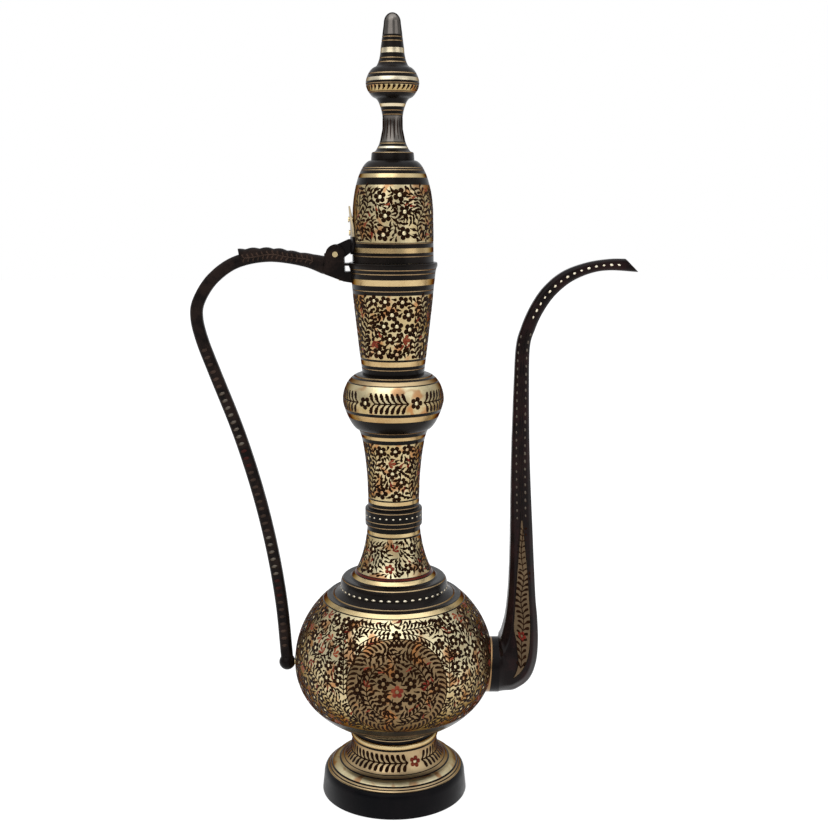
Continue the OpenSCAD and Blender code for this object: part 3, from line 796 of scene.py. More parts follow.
class Drawing:
    """A flat drawing: marks at points, and vines along lines.

    Strewn flowers stray by jitter and keep flower_room, both in pitches. A draw under sprig_below
    sets a sprig, one under red_below a red flower, and red_leaves is the share of red leaves.
    """

    jitter = 0.14
    flower_room = 0.28
    sprig_below = 0.14
    red_below = 0.16
    red_leaves = 0.07

    def __init__(self, surface: Surface, sizes: OrnamentSizes, seed: int = 0) -> None:
        """Start an empty drawing.

        Args:
            surface: Surface that carries it.
            sizes: Sizes of its marks.
            seed: Seed of the small irregularities of hand work.
        """
        self.surface = surface
        self.sizes = sizes
        self.random = random.Random(seed)
        self.places: list[Point] = []
        self.facts: list[tuple[int, float, float, int, int]] = []
        self.edges: list[tuple[int, int]] = []
        self.taken: list[Place] = [(1e6, 1e6, 0.0)]

    def mark(
        self, motif: Motif, x: float, y: float, turn: float = 0.0, grow: float = 1.0,
        tint: Tint = Tint.BLACK, side: int = 0,
    ) -> None:
        """Add one mark.

        Args:
            motif: What it is.
            x, y: Its drawn place.
            turn: Its direction.
            grow: Its size beside the ornament's own.
            tint: Its filling.
            side: Side of a vine that has leaves: 1 left, -1 right, 0 both.
        """
        self.places.append((x, y))
        self.facts.append((motif.value, turn, grow, tint.value, side))
        if motif is Motif.FLOWER:
            self.taken.append((x, y, 0.58 * self.sizes.flower * grow))

    def vine(
        self, points: Sequence[Point], grow: float = 1.0, tint: Tint = Tint.BLACK, side: int = 0
    ) -> None:
        """Add a stem with paired leaves.

        Args:
            points: Drawn points that it follows.
            grow: Size of its leaves beside the ornament's own.
            tint: Its filling.
            side: Side that has leaves: 1 left, -1 right, 0 both.
        """
        first = len(self.places)
        for x, y in points:
            self.mark(Motif.VINE, x, y, 0.0, grow, tint, side)
            self.taken.append((x, y, 0.8 * self.sizes.leaf_length * grow))
        self.edges += [(i, i + 1) for i in range(first, len(self.places) - 1)]

    def sprig(self, x: float, y: float, turn: float, grow: float = 1.0, tint: Tint = Tint.RED) -> None:
        """Add a fan of three leaves that spring from one place.

        Args:
            x, y: Drawn place where they meet.
            turn: Direction of the middle leaf.
            grow: Size of the leaves beside the ornament's own.
            tint: Their filling.
        """
        for k in (-1, 0, 1):
            self.mark(Motif.LEAF, x, y, turn + 0.8 * k, grow * (1.15 - 0.15 * abs(k)), tint)
        reach = 0.6 * self.sizes.leaf_length * grow
        self.taken.append((x + reach * math.cos(turn), y + reach * math.sin(turn), 1.6 * reach))

    def room_at(self, x: float, y: float, taken: Array) -> float:
        """Least distance from a place to what is taken.

        Args:
            x, y: Drawn place.
            taken: Drawn places with the room that each keeps, one row each.

        Returns:
            The distance that is left over.
        """
        across = taken[:, 0] - x
        if self.surface.period:
            half = self.surface.period / 2
            across = (across + half) % self.surface.period - half
        gaps = np.hypot(across * self.surface.scale_at(y), taken[:, 1] - y)
        return float((gaps - taken[:, 2]).min())

    def flower_field(
        self, low: float, high: float, pitch: float, keep: Callable[[float, float], bool], stems: int = 0
    ) -> None:
        """Strew flowers in clumps parted by leafy stems, and set leaves wherever there is room.

        Args:
            low, high: Drawn height of the band.
            pitch: Distance from flower to flower.
            keep: Says whether a drawn place belongs to the field.
            stems: Number of leafy stems that climb the band.
        """
        draw, period = self.random, self.surface.period
        for k in range(stems):
            x, swing = period * ((k + 0.5) / stems - 0.5), draw.choice((-0.3, 0.3)) * pitch
            shares = [i / 15 for i in range(16)]
            path = [(x + swing * math.sin(2 * math.pi * f), low + 1 + f * (high - low - 4)) for f in shares]
            self.vine([spot for spot in path if keep(*spot)])
        rows = max(1, round((high - low) / (0.9 * pitch)))
        for row in range(rows):
            level = low + (row + 0.5) * (high - low) / rows
            count = round(period * float(self.surface.scale_at(level)) / pitch)
            shift = draw.random()
            for k in range(count):
                x = period * ((k + shift) / count - 0.5) + draw.uniform(-self.jitter, self.jitter) * pitch
                y = level + draw.uniform(-self.jitter, self.jitter) * pitch
                chance, turn, grow = draw.random(), draw.uniform(0, 2 * math.pi), draw.uniform(0.9, 1.06)
                room = self.flower_room * pitch
                if not keep(x, y) or self.room_at(x, y, np.array(self.taken)) < room:
                    continue
                if chance < self.sprig_below:
                    self.sprig(x, y, turn)
                else:
                    tint = Tint.RED if chance < self.red_below else Tint.BLACK
                    self.mark(Motif.FLOWER, x, y, turn, grow, tint)
        self.fill(low, high, keep)

    def fill(self, low: float, high: float, keep: Callable[[float, float], bool]) -> None:
        """Set single leaves wherever there is room.

        Args:
            low, high: Drawn height of the band.
            keep: Says whether a drawn place may hold a leaf.
        """
        draw = self.random
        length = self.sizes.leaf_length
        half = self.surface.period / 2
        gap = self.sizes.fill_gap * length
        taken = np.array(self.taken)
        swirl = draw.uniform(0, 6)
        for _ in range(int(5 * self.surface.period * (high - low) / gap ** 2)):
            x, y = draw.uniform(-half, half), draw.uniform(low + 0.45 * length, high - 0.45 * length)
            if draw.random() > self.surface.scale_at(y) or not keep(x, y) or self.room_at(x, y, taken) < 0:
                continue
            taken = np.vstack([taken, (x, y, gap)])
            turn = swirl + 2.2 * math.sin(x / 9) + 1.9 * math.cos(y / 7) + draw.uniform(-0.5, 0.5)
            grow = draw.uniform(0.75, 1.05)
            back = 0.5 * length * grow
            scale = float(self.surface.scale_at(y))
            tint = Tint.RED if draw.random() < self.red_leaves else Tint.BLACK
            foot = (x - back * math.cos(turn) / scale, y - back * math.sin(turn))
            self.mark(Motif.LEAF, *foot, turn, grow, tint)


def leaf_group() -> Tree:
    """One comma leaf: a curved stalk that swells to a rounded head, flattened to a low relief.

    Returns:
        A geometry group.
    """
    net, given, result = new_group(
        "comma_leaf", "GeometryNodeTree",
        {"Length": 4.4, "Width": 1.7, "Curl": 1.0, "Relief": 0.13}, {"Leaf": "NodeSocketGeometry"},
    )
    length = given["Length"]
    middle = net.out("ShaderNodeCombineXYZ", {0: net.times(length, 0.6)})
    end = net.out("ShaderNodeCombineXYZ", {0: length, 1: given["Curl"]})
    curve = {"Resolution": 5, "Start": (0, 0, 0), "Middle": middle, "End": end}
    spine = net.out("GeometryNodeCurveQuadraticBezier", curve)
    share = net.add("GeometryNodeSplineParameter").outputs["Factor"]
    swell = net.add("ShaderNodeFloatCurve", {"Value": share})
    points = swell.mapping.curves[0].points
    points[0].location, points[1].location = (0.0, 0.3), (1.0, 0.66)
    for place, height in ((0.35, 0.52), (0.78, 1.0)):
        points.new(place, height)
    swell.mapping.update()
    half = net.times(given["Width"], 0.5)
    profile = net.out("GeometryNodeCurvePrimitiveCircle", {"Resolution": 4, "Radius": 1.0})
    radius = net.times(swell.outputs[0], half)
    tube = {"Curve": spine, "Profile Curve": profile, "Scale": radius, "Fill Caps": True}
    body = net.out("GeometryNodeCurveToMesh", tube)
    x, y, z = net.add("ShaderNodeSeparateXYZ", {0: net.out("GeometryNodeInputPosition")}).outputs
    level = net.times(net.math("SIGN", z), given["Relief"])
    lifted = net.times(level, net.math("GREATER_THAN", net.math("ABSOLUTE", z), 1e-4))
    flat = net.out("ShaderNodeCombineXYZ", {0: x, 1: y, 2: lifted})
    net.feed(result["Leaf"], net.out("GeometryNodeSetPosition", {"Geometry": body, "Position": flat}))
    return net.tree


def ornament_tree() -> Tree:
    """Tree that turns a flat drawing into flowers, leaves, dots and leafy stems, still flat.

    Returns:
        A geometry group.
    """
    comma = leaf_group()
    sockets = {
        "Drawing": "NodeSocketGeometry", "Petals": 5, "Flower": 10.0, "Leaf Length": 4.4, "Leaf Width": 1.7,
        "Leaf Curl": 1.0, "Splay": 0.8, "Spacing": 3.4, "Stem": 0.6, "Dot Length": 2.2, "Dot Width": 1.7,
        "Relief": 0.13, **dict.fromkeys(("Dark", "Red", "Bright", "Dull", "Heart"), "NodeSocketMaterial"),
    }
    outputs = {"Ornament": "NodeSocketGeometry"}
    net, size, result = new_group("ornament", "GeometryNodeTree", sockets, outputs)

    def fact(name: str) -> Socket:
        """Read one fact of the drawing."""
        return net.out("GeometryNodeInputNamedAttribute", {"Name": name}, data_type="FLOAT")

    def says(name: str, value: Motif | Tint, slack: float) -> Socket:
        """Say whether a fact has a value, give or take some slack."""
        inputs = {"A": fact(name), "B": float(value.value), "Epsilon": slack}
        return net.out("FunctionNodeCompare", inputs, operation="EQUAL")

    def is_motif(motif: Motif) -> Socket:
        """Say whether a point is of a motif."""
        return says("motif", motif, 0.1)

    def stored(geometry: Socket, name: str, value: object, kind: str) -> Socket:
        """Keep a value at each point under a name."""
        inputs = {"Geometry": geometry, "Name": name, "Value": value}
        return net.out("GeometryNodeStoreNamedAttribute", inputs, data_type=kind, domain="POINT")

    def anchored(geometry: Socket) -> Socket:
        """Keep the drawn place of each point under the name anchor."""
        return stored(geometry, "anchor", net.out("GeometryNodeInputPosition"), "FLOAT_VECTOR")

    def set_out(points: Socket, shape: Socket, turn: Socket, choice: object = True) -> Socket:
        """Set a shape at points, sized by their facts.

        Args:
            points: The points.
            shape: What is set there.
            turn: Its direction.
            choice: Which of the points have it.

        Returns:
            The instances.
        """
        turned = net.out("ShaderNodeCombineXYZ", {2: turn})
        grow = fact("grow")
        size3 = net.out("ShaderNodeCombineXYZ", {0: grow, 1: grow, 2: 1.0})
        return net.out(
            "GeometryNodeInstanceOnPoints",
            {"Points": points, "Selection": choice, "Instance": shape, "Rotation": turned, "Scale": size3},
        )

    def bead(length: object, width: object, relief: object) -> Socket:
        """Make a low rounded bead."""
        ball = net.out("GeometryNodeMeshUVSphere", {"Segments": 8, "Rings": 3, "Radius": 1.0})
        size3 = net.out("ShaderNodeCombineXYZ", {0: length, 1: width, 2: relief})
        return net.out("GeometryNodeTransform", {"Geometry": ball, "Scale": size3})

    # Flower: a ring of petals round a bright heart
    ring_r = net.times(size["Flower"], 0.31)
    seats = net.out("GeometryNodeMeshCircle", {"Vertices": size["Petals"], "Radius": ring_r})
    step = net.math("DIVIDE", 2 * math.pi, size["Petals"])
    outwards = net.times(net.out("GeometryNodeInputIndex"), step)
    petal_length = net.times(size["Flower"], 0.21)
    petal_width = net.times(size["Flower"], 0.22)
    petal = bead(petal_length, petal_width, size["Relief"])
    petal_turn = net.out("ShaderNodeCombineXYZ", {2: outwards})
    petal_seats = {"Points": seats, "Instance": petal, "Rotation": petal_turn}
    petals = net.out("GeometryNodeInstanceOnPoints", petal_seats)
    eye_r = net.times(size["Flower"], 0.33)
    blossom = net.add("GeometryNodeJoinGeometry")
    net.feed(blossom.inputs[0], net.out("GeometryNodeRealizeInstances", {0: petals}))
    net.feed(blossom.inputs[0], bead(eye_r, eye_r, net.times(size["Relief"], 0.8)))
    flower = blossom.outputs[0]
    heart_r = net.times(size["Flower"], 0.18)
    heart = bead(heart_r, heart_r, net.times(size["Relief"], 1.5))

    def leaf(curl: object) -> Socket:
        """Make a leaf that curls to one side."""
        shape = {"Length": size["Leaf Length"], "Width": size["Leaf Width"], "Relief": size["Relief"]}
        return net.out("GeometryNodeGroup", {**shape, "Curl": curl}, node_tree=comma)

    left = leaf(size["Leaf Curl"])
    right = leaf(net.times(size["Leaf Curl"], -1.0))
    dot = bead(
        net.times(size["Dot Length"], 0.5), net.times(size["Dot Width"], 0.5),
        net.times(size["Relief"], 2.0),
    )
    is_vine = is_motif(Motif.VINE)
    parted = net.add(
        "GeometryNodeSeparateGeometry", {"Geometry": size["Drawing"], "Selection": is_vine}, domain="POINT"
    )
    points = anchored(parted.outputs["Inverted"])
    turn = fact("turn")
    flowers = set_out(points, flower, turn, is_motif(Motif.FLOWER))
    hearts = set_out(points, heart, turn, is_motif(Motif.FLOWER))
    leaves = set_out(points, left, turn, is_motif(Motif.LEAF))
    dots = set_out(points, dot, turn, is_motif(Motif.DOT))

    # Vines: a thin stem, and leaves in pairs along it
    lines = net.out("GeometryNodeMeshToCurve", {"Mesh": parted.outputs["Selection"]})
    spaced = net.out(
        "GeometryNodeResampleCurve", {"Curve": lines, "Length": size["Spacing"]}, mode="LENGTH"
    )
    nodes = anchored(spaced)
    way = net.add("ShaderNodeSeparateXYZ", {0: net.out("GeometryNodeInputTangent")})
    heading = net.math("ARCTAN2", way.outputs[1], way.outputs[0])
    has_left = net.math("GREATER_THAN", fact("side"), -0.5)
    has_right = net.math("LESS_THAN", fact("side"), 0.5)
    lefts = set_out(nodes, left, net.math("ADD", heading, size["Splay"]), has_left)
    rights = set_out(nodes, right, net.math("SUBTRACT", heading, size["Splay"]), has_right)
    fine = net.out("GeometryNodeResampleCurve", {"Curve": lines, "Length": 1.6}, mode="LENGTH")
    profile = net.out("GeometryNodeCurvePrimitiveCircle", {"Resolution": 4, "Radius": 1.0})
    stem = net.out(
        "GeometryNodeCurveToMesh",
        {"Curve": fine, "Profile Curve": profile, "Scale": net.times(size["Stem"], 0.5), "Fill Caps": True},
    )
    stem = net.out("GeometryNodeTransform", {"Geometry": stem, "Scale": (1, 1, 0.5)})

    join = net.add("GeometryNodeJoinGeometry")
    for part in (flowers, leaves, dots, lefts, rights):
        net.feed(join.inputs[0], net.out("GeometryNodeRealizeInstances", {0: part}))
    bright = net.out("GeometryNodeRealizeInstances", {0: hearts})
    net.feed(join.inputs[0], stored(bright, "tint", float(Tint.HEART.value), "FLOAT"))
    net.feed(join.inputs[0], anchored(stem))
    smooth = net.out("GeometryNodeSetShadeSmooth", {0: join.outputs[0]})
    painted = net.out("GeometryNodeSetMaterial", {"Geometry": smooth, "Material": size["Dark"]})
    fillings = {"Red": Tint.RED, "Bright": Tint.BRASS, "Dull": Tint.DULL, "Heart": Tint.HEART}
    for label, tint in fillings.items():
        paint = {"Geometry": painted, "Selection": says("tint", tint, 0.45), "Material": size[label]}
        painted = net.out("GeometryNodeSetMaterial", paint)
    net.feed(result["Ornament"], painted)
    return net.tree


FACTS = ("motif", "turn", "grow", "tint", "side")


def rows_of(items: bpy.types.bpy_prop_collection, label: str) -> Array:
    """Read a vector property of every item, one row each."""
    flat = np.empty(len(items) * 3, np.float32)
    items.foreach_get(label, flat)
    return flat.reshape(-1, 3).astype(float)


class Engraver:
    """Makes ornament pieces from drawings."""

    def __init__(self, palette: Palette) -> None:
        """Build the tree once."""
        self.palette = palette
        self.tree = ornament_tree()

    def engrave(self, name: str, drawing: Drawing, body: str, slot: str) -> None:
        """Turn a drawing into one mesh on its surface.

        Args:
            name: Name of the piece.
            drawing: What is drawn.
            body: CAD body that carries it.
            slot: Material slot of the record.
        """
        mesh = bpy.data.meshes.new(name)
        mesh.from_pydata([(x, y, 0.0) for x, y in drawing.places], drawing.edges, [])
        for column, label in enumerate(FACTS):
            values = np.array([row[column] for row in drawing.facts], np.float32)
            mesh.attributes.new(label, "FLOAT", "POINT").data.foreach_set("value", values)
        piece = placed(name, mesh)
        modifier = piece.modifiers.new("ornament", "NODES")
        modifier.node_group = self.tree
        self.set_inputs(modifier, drawing.sizes)
        self.lay(applied(piece, modifier), drawing.surface, drawing.sizes.lift)
        seat(piece, body, slot)

    def set_inputs(self, modifier: bpy.types.Modifier, sizes: OrnamentSizes) -> None:
        """Fill in the tree's named inputs.

        Args:
            modifier: The modifier that runs the tree.
            sizes: Sizes of the marks.
        """
        values = {label.replace("_", " ").title(): value for label, value in vars(sizes).items()}
        finishes = {
            "Dark": "inlay_lacquer", "Red": sizes.red, "Bright": "bright_brass", "Dull": "dull_brass",
            "Heart": sizes.heart,
        }
        values |= {label: self.palette[finish] for label, finish in finishes.items()}
        for item in modifier.node_group.interface.items_tree:
            if item.item_type == "SOCKET" and item.in_out == "INPUT" and item.name in values:
                modifier[item.identifier] = values[item.name]

    def lay(self, mesh: Mesh, surface: Surface, lift: float) -> None:
        """Move a flat mesh on to its surface, true to size round each mark's own place.

        Args:
            mesh: The flat mesh, whose marks know their drawn place.
            surface: The surface that carries it.
            lift: Height of the drawing over the surface.
        """
        place = rows_of(mesh.vertices, "co")
        anchor = rows_of(mesh.attributes["anchor"].data, "vector")[:, 0]
        x = anchor + (place[:, 0] - anchor) / surface.scale_at(place[:, 1])
        laid = surface.wrap(x, place[:, 1], place[:, 2] + lift) * MM
        mesh.vertices.foreach_set("co", laid.astype(np.float32).ravel())
        for label in ("anchor", *FACTS):
            if label in mesh.attributes:
                mesh.attributes.remove(mesh.attributes[label])
        mesh.update()


# Turned sections


@dataclass(frozen=True)
class Stripe:
    """A band round a turned piece, by its levels."""

    low: float
    high: float
    skin: Skin = Skin.BRASS
    sink: float = 0.0


@dataclass(frozen=True)
class Bore:
    """A round hole along X through the wall of a turned piece."""

    y: float
    z: float
    radius: float
    start: float
    end: float

    def cut(self, piece: Piece) -> None:
        """Cut the hole.

        Args:
            piece: Closed piece that is cut.
        """
        angles = np.linspace(0, 2 * math.pi, 48, endpoint=False)
        y, z = self.y + self.radius * np.cos(angles), self.z + self.radius * np.sin(angles)
        rings = [np.column_stack([np.full(len(angles), x), y, z]) for x in (self.start, self.end)]
        cutter = loft("cutter", np.array(rings), piece.data.materials[1:2])
        modifier = piece.modifiers.new("bore", "BOOLEAN")
        modifier.operation = "DIFFERENCE"
        modifier.solver = "EXACT"
        modifier.object = cutter
        applied(piece, modifier)
        tool = cutter.data
        bpy.data.objects.remove(cutter)
        bpy.data.meshes.remove(tool)


def line(level: float, width: float = 0.65) -> Stripe:
    """Narrow dull line, cut a little into the lacquer, by the level of its middle."""
    return Stripe(level - width / 2, level + width / 2, Skin.DULL, 0.12)


def inset(curve: Sequence[Point], wall: float) -> list[Point]:
    """Inside of a turned wall: the outer curve moved square to itself.

    Args:
        curve: Outer points, from the bottom up.
        wall: How far it moves.

    Returns:
        As many inner points.
    """
    points = np.array(curve, float)
    way = np.vstack([points[1:], points[-1:]]) - np.vstack([points[:1], points[:-1]])
    return [tuple(p) for p in points - wall * square_to(way)]


def within(curve: Sequence[Point], low: float, high: float) -> list[Point]:
    """Points of a curve between two levels."""
    return [p for p in curve if low < p[1] < high]


@dataclass(frozen=True)
class FlowerField:
    """Flowers and leaves round a turned piece between two levels, clear of a strip at the hinge."""

    name: str
    sizes: OrnamentSizes
    seed: int
    low: float
    high: float
    pitch: float
    stems: int = 0
    clear: float = 0.0

    def drawn(self, surface: TurnedSurface) -> Drawing:
        """Draw the field.

        Args:
            surface: Outside of the piece.

        Returns:
            The drawing.
        """
        field = Drawing(surface, self.sizes, self.seed)
        hinge_x = -surface.period / 4
        low, high = surface.run_at(self.low), surface.run_at(self.high)
        field.flower_field(low, high, self.pitch, lambda x, y: abs(x - hinge_x) >= self.clear, self.stems)
        return field


@dataclass(frozen=True)
class MarkRow:
    """Even row of marks round a turned piece."""

    name: str
    sizes: OrnamentSizes
    level: float
    count: int
    tint: Tint = Tint.BLACK
    motif: Motif = Motif.DOT
    turn: float = 0.0
    shift: float = 0.0

    def drawn(self, surface: TurnedSurface) -> Drawing:
        """Draw the row.

        Args:
            surface: Outside of the piece.

        Returns:
            The drawing.
        """
        row = Drawing(surface, self.sizes)
        for k in range(self.count):
            x = surface.period * ((k + self.shift) / self.count - 0.5)
            row.mark(self.motif, x, surface.run_at(self.level), self.turn, 1.0, self.tint)
        return row


@dataclass(frozen=True)
class Garland:
    """Leafy stem round a turned piece, both ways from one flower and parted by the others."""

    name: str
    sizes: OrnamentSizes
    level: float
    flowers: int
    spring: float
    tint: Tint = Tint.BLACK

    def drawn(self, surface: TurnedSurface) -> Drawing:
        """Draw the garland.

        Args:
            surface: Outside of the piece.

        Returns:
            The drawing.
        """
        stem = Drawing(surface, self.sizes)
        y, spring = surface.run_at(self.level), self.spring * surface.girth
        span, gap = surface.period / self.flowers, 0.6 * self.sizes.flower
        for k in range(self.flowers):
            tint = Tint.BLACK if k else self.tint
            stem.mark(Motif.FLOWER, spring + k * span, y, 0.7 * k, 1.0, tint)
        for way in (-1, 1):
            for k in range(self.flowers // 2):
                run = np.linspace(k * span + gap, (k + 1) * span - gap - 0.4 * self.sizes.leaf_length, 24)
                stem.vine([(spring + way * float(x), y) for x in run])
        return stem


class TurnedPiece:
    """A section that was turned on a lathe, with bands of lacquer and bright brass.

    A shell has the radius of its socket and that of its lower seat.
    """

    node: ClassVar[str] = ""
    body: ClassVar[str] = VESSEL
    slot: ClassVar[str] = "engraved_brass"
    base: ClassVar[Skin] = Skin.BLACK
    coat: ClassVar[str] = "black_lacquer"
    bare: ClassVar[str] = "plain_brass"
    level: ClassVar[float | None] = None
    wall: ClassVar[float] = 2.0
    socket_h: ClassVar[float] = 4.1
    shell: ClassVar[Point | None] = None
    bands: ClassVar[tuple[Stripe, ...]] = ()
    ornament: ClassVar[tuple[FlowerField | MarkRow | Garland, ...]] = ()

    def outline(self) -> list[Point]:
        """Outside of the half section, from the bottom up."""
        raise NotImplementedError

    def head(self) -> list[Point]:
        """Corners of the section before its outline."""
        return []

    def tail(self) -> list[Point]:
        """Corners of the section after its outline.

        Returns:
            The inside of a shell from the top down, or nothing for other pieces.
        """
        if self.shell is None:
            return []
        socket, spigot = self.shell
        outline = self.outline()
        low, high = outline[0][1], outline[-1][1]
        inner = within(inset(outline, self.wall), low + self.wall, high - self.socket_h - 0.5)
        return [
            (socket, high), (socket, high - self.socket_h), *inner[::-1],
            (spigot, low + self.wall), (spigot, low),
        ]

    def bores(self) -> list[Bore]:
        """Holes through the wall."""
        return []

    def draw(self, surface: TurnedSurface) -> dict[str, Drawing]:
        """Draw the ornament of the piece on its own outside, by the names of the ornament's pieces."""
        return {part.name: part.drawn(surface) for part in self.ornament}

    def banded(self, surface: TurnedSurface) -> tuple[list[Point], list[int], list[float]]:
        """Cut the outline at its bands.

        Args:
            surface: The piece's own outside.

        Returns:
            Points of the outline, the skin of the stretch that follows each but the last, and the
            painted shade of each, which darkens the brass where the outline faces down.
        """
        edge, tarnish, droop = 0.08, 0.36, 0.85
        levels = surface.points[:, 1]
        marks = [m for s in self.bands for m in (s.low, s.low + edge, s.high - edge, s.high)]
        marks = [m for m in marks if levels[0] < m < levels[-1]]
        runs = np.unique(np.concatenate([surface.run, [surface.run_at(m) for m in marks]]).round(5))
        place, normal = surface.at(runs)
        sink = np.zeros(len(runs))
        for band in self.bands:
            deep = (place[:, 1] > band.low + edge / 2) & (place[:, 1] < band.high - edge / 2)
            sink[deep] = band.sink
        skins = [self.skin_at(level) for level in (place[1:, 1] + place[:-1, 1]) / 2]
        # Painted shade: darker where the outline faces down, lighter where it faces up.
        shades = np.clip(tarnish - droop * normal[:, 1], 0, 1)
        return [tuple(p) for p in place - normal * sink[:, None]], skins, shades.tolist()

    def skin_at(self, level: float) -> int:
        """Material slot at a level: the last band that covers it, or the piece's own."""
        found = [band.skin for band in self.bands if band.low <= level <= band.high]
        return (found or [self.base])[-1].value

    def build(self, engraver: Engraver) -> None:
        """Make the piece and its ornament.

        Args:
            engraver: Maker of the ornament.
        """
        surface = TurnedSurface(self.outline(), self.level)
        points, skins, shades = self.banded(surface)
        head, tail = self.head(), self.tail()
        inside = Skin.BRASS.value
        loop = [*head, *points, *tail]
        marks = [inside] * len(head) + skins + [Skin.BLACK.value] + [inside] * len(tail)
        # Faces inside the piece, out of sight, take the full painted shade.
        shades = [1.0] * len(head) + shades + [1.0] * len(tail)
        finishes = engraver.palette.turned(self.coat, self.bare)
        piece = lathe("dressed_" + self.node, loop, marks, shades, finishes)
        for bore in self.bores():
            bore.cut(piece)
        seat(piece, self.body, self.slot, self.node)
        for name, drawing in self.draw(surface).items():
            engraver.engrave(name, drawing, self.body, self.slot)


GARLAND_SPLAY = math.radians(24)


@dataclass
class Foot(TurnedPiece):
    """Wide black foot with a garland round its flare."""

    node = "foot"
    slot = "foot_lacquer"
    coat = "foot_lacquer"
    level = 36.0
    bands = (
        Stripe(20.3, 21.2, Skin.DULL), Stripe(21.9, 22.7, Skin.DULL), Stripe(23.7, 26.5, Skin.GROUND),
        Stripe(26.9, 28.2, Skin.DULL), Stripe(28.7, 44.6, Skin.DULL), Stripe(46.6, 50.4), line(53.1),
    )
    leaves = OrnamentSizes(
        flower=9.6, leaf_length=6.4, leaf_width=3.1, leaf_curl=4.6, spacing=4.3, stem=1.1,
        splay=GARLAND_SPLAY,
    )
    ornament = (Garland("foot_garland", leaves, 36.0, 2, math.radians(28), Tint.RED),)
    rim_h: float = 20.5
    step_r: float = 53.4
    flare_r: float = 46.4
    waist_r: float = 34.0
    neck_r: float = 33.0
    land: float = 4.5

    def outline(self) -> list[Point]:
        """Outside, from the bottom up."""
        r, top, waist = reach_of(self.node), top_of(self.node), self.waist_r
        bead = through(
            [
                (waist + 0.4, top - 10.4), (waist + 1, top - 9.8), (waist + 1.25, top - 8.2),
                (waist + 0.8, top - 6.6), (self.neck_r + 0.2, top - 5.9),
            ],
            4,
        )
        return [
            (r - 0.8, 0.0), (r - 0.25, 0.3), (r, 1.0),
            *ovolo(r - 1.4, self.rim_h - 6.5, self.step_r, self.rim_h),
            (self.step_r - 0.8, self.rim_h + 1), (self.flare_r + 1.8, self.rim_h + 5),
            *cove(self.flare_r, self.rim_h + 5.8, waist, top - 10.5),
            *(tuple(p) for p in bead),
            (self.neck_r, top - 5.8), (self.neck_r, top),
        ]

    def tail(self) -> list[Point]:
        """Corners of the section after its outline.

        Returns:
            Its inside, from the top down.
        """
        outline = self.outline()
        top, socket, inner_r = outline[-1][1], self.neck_r - 3.9, outline[0][0] - self.land
        inner = within(inset(outline, self.wall), 3, top - self.socket_h - self.wall)
        return [(socket, top), (socket, top - self.socket_h), *inner[::-1], (inner_r, 3.0), (inner_r, 0.0)]


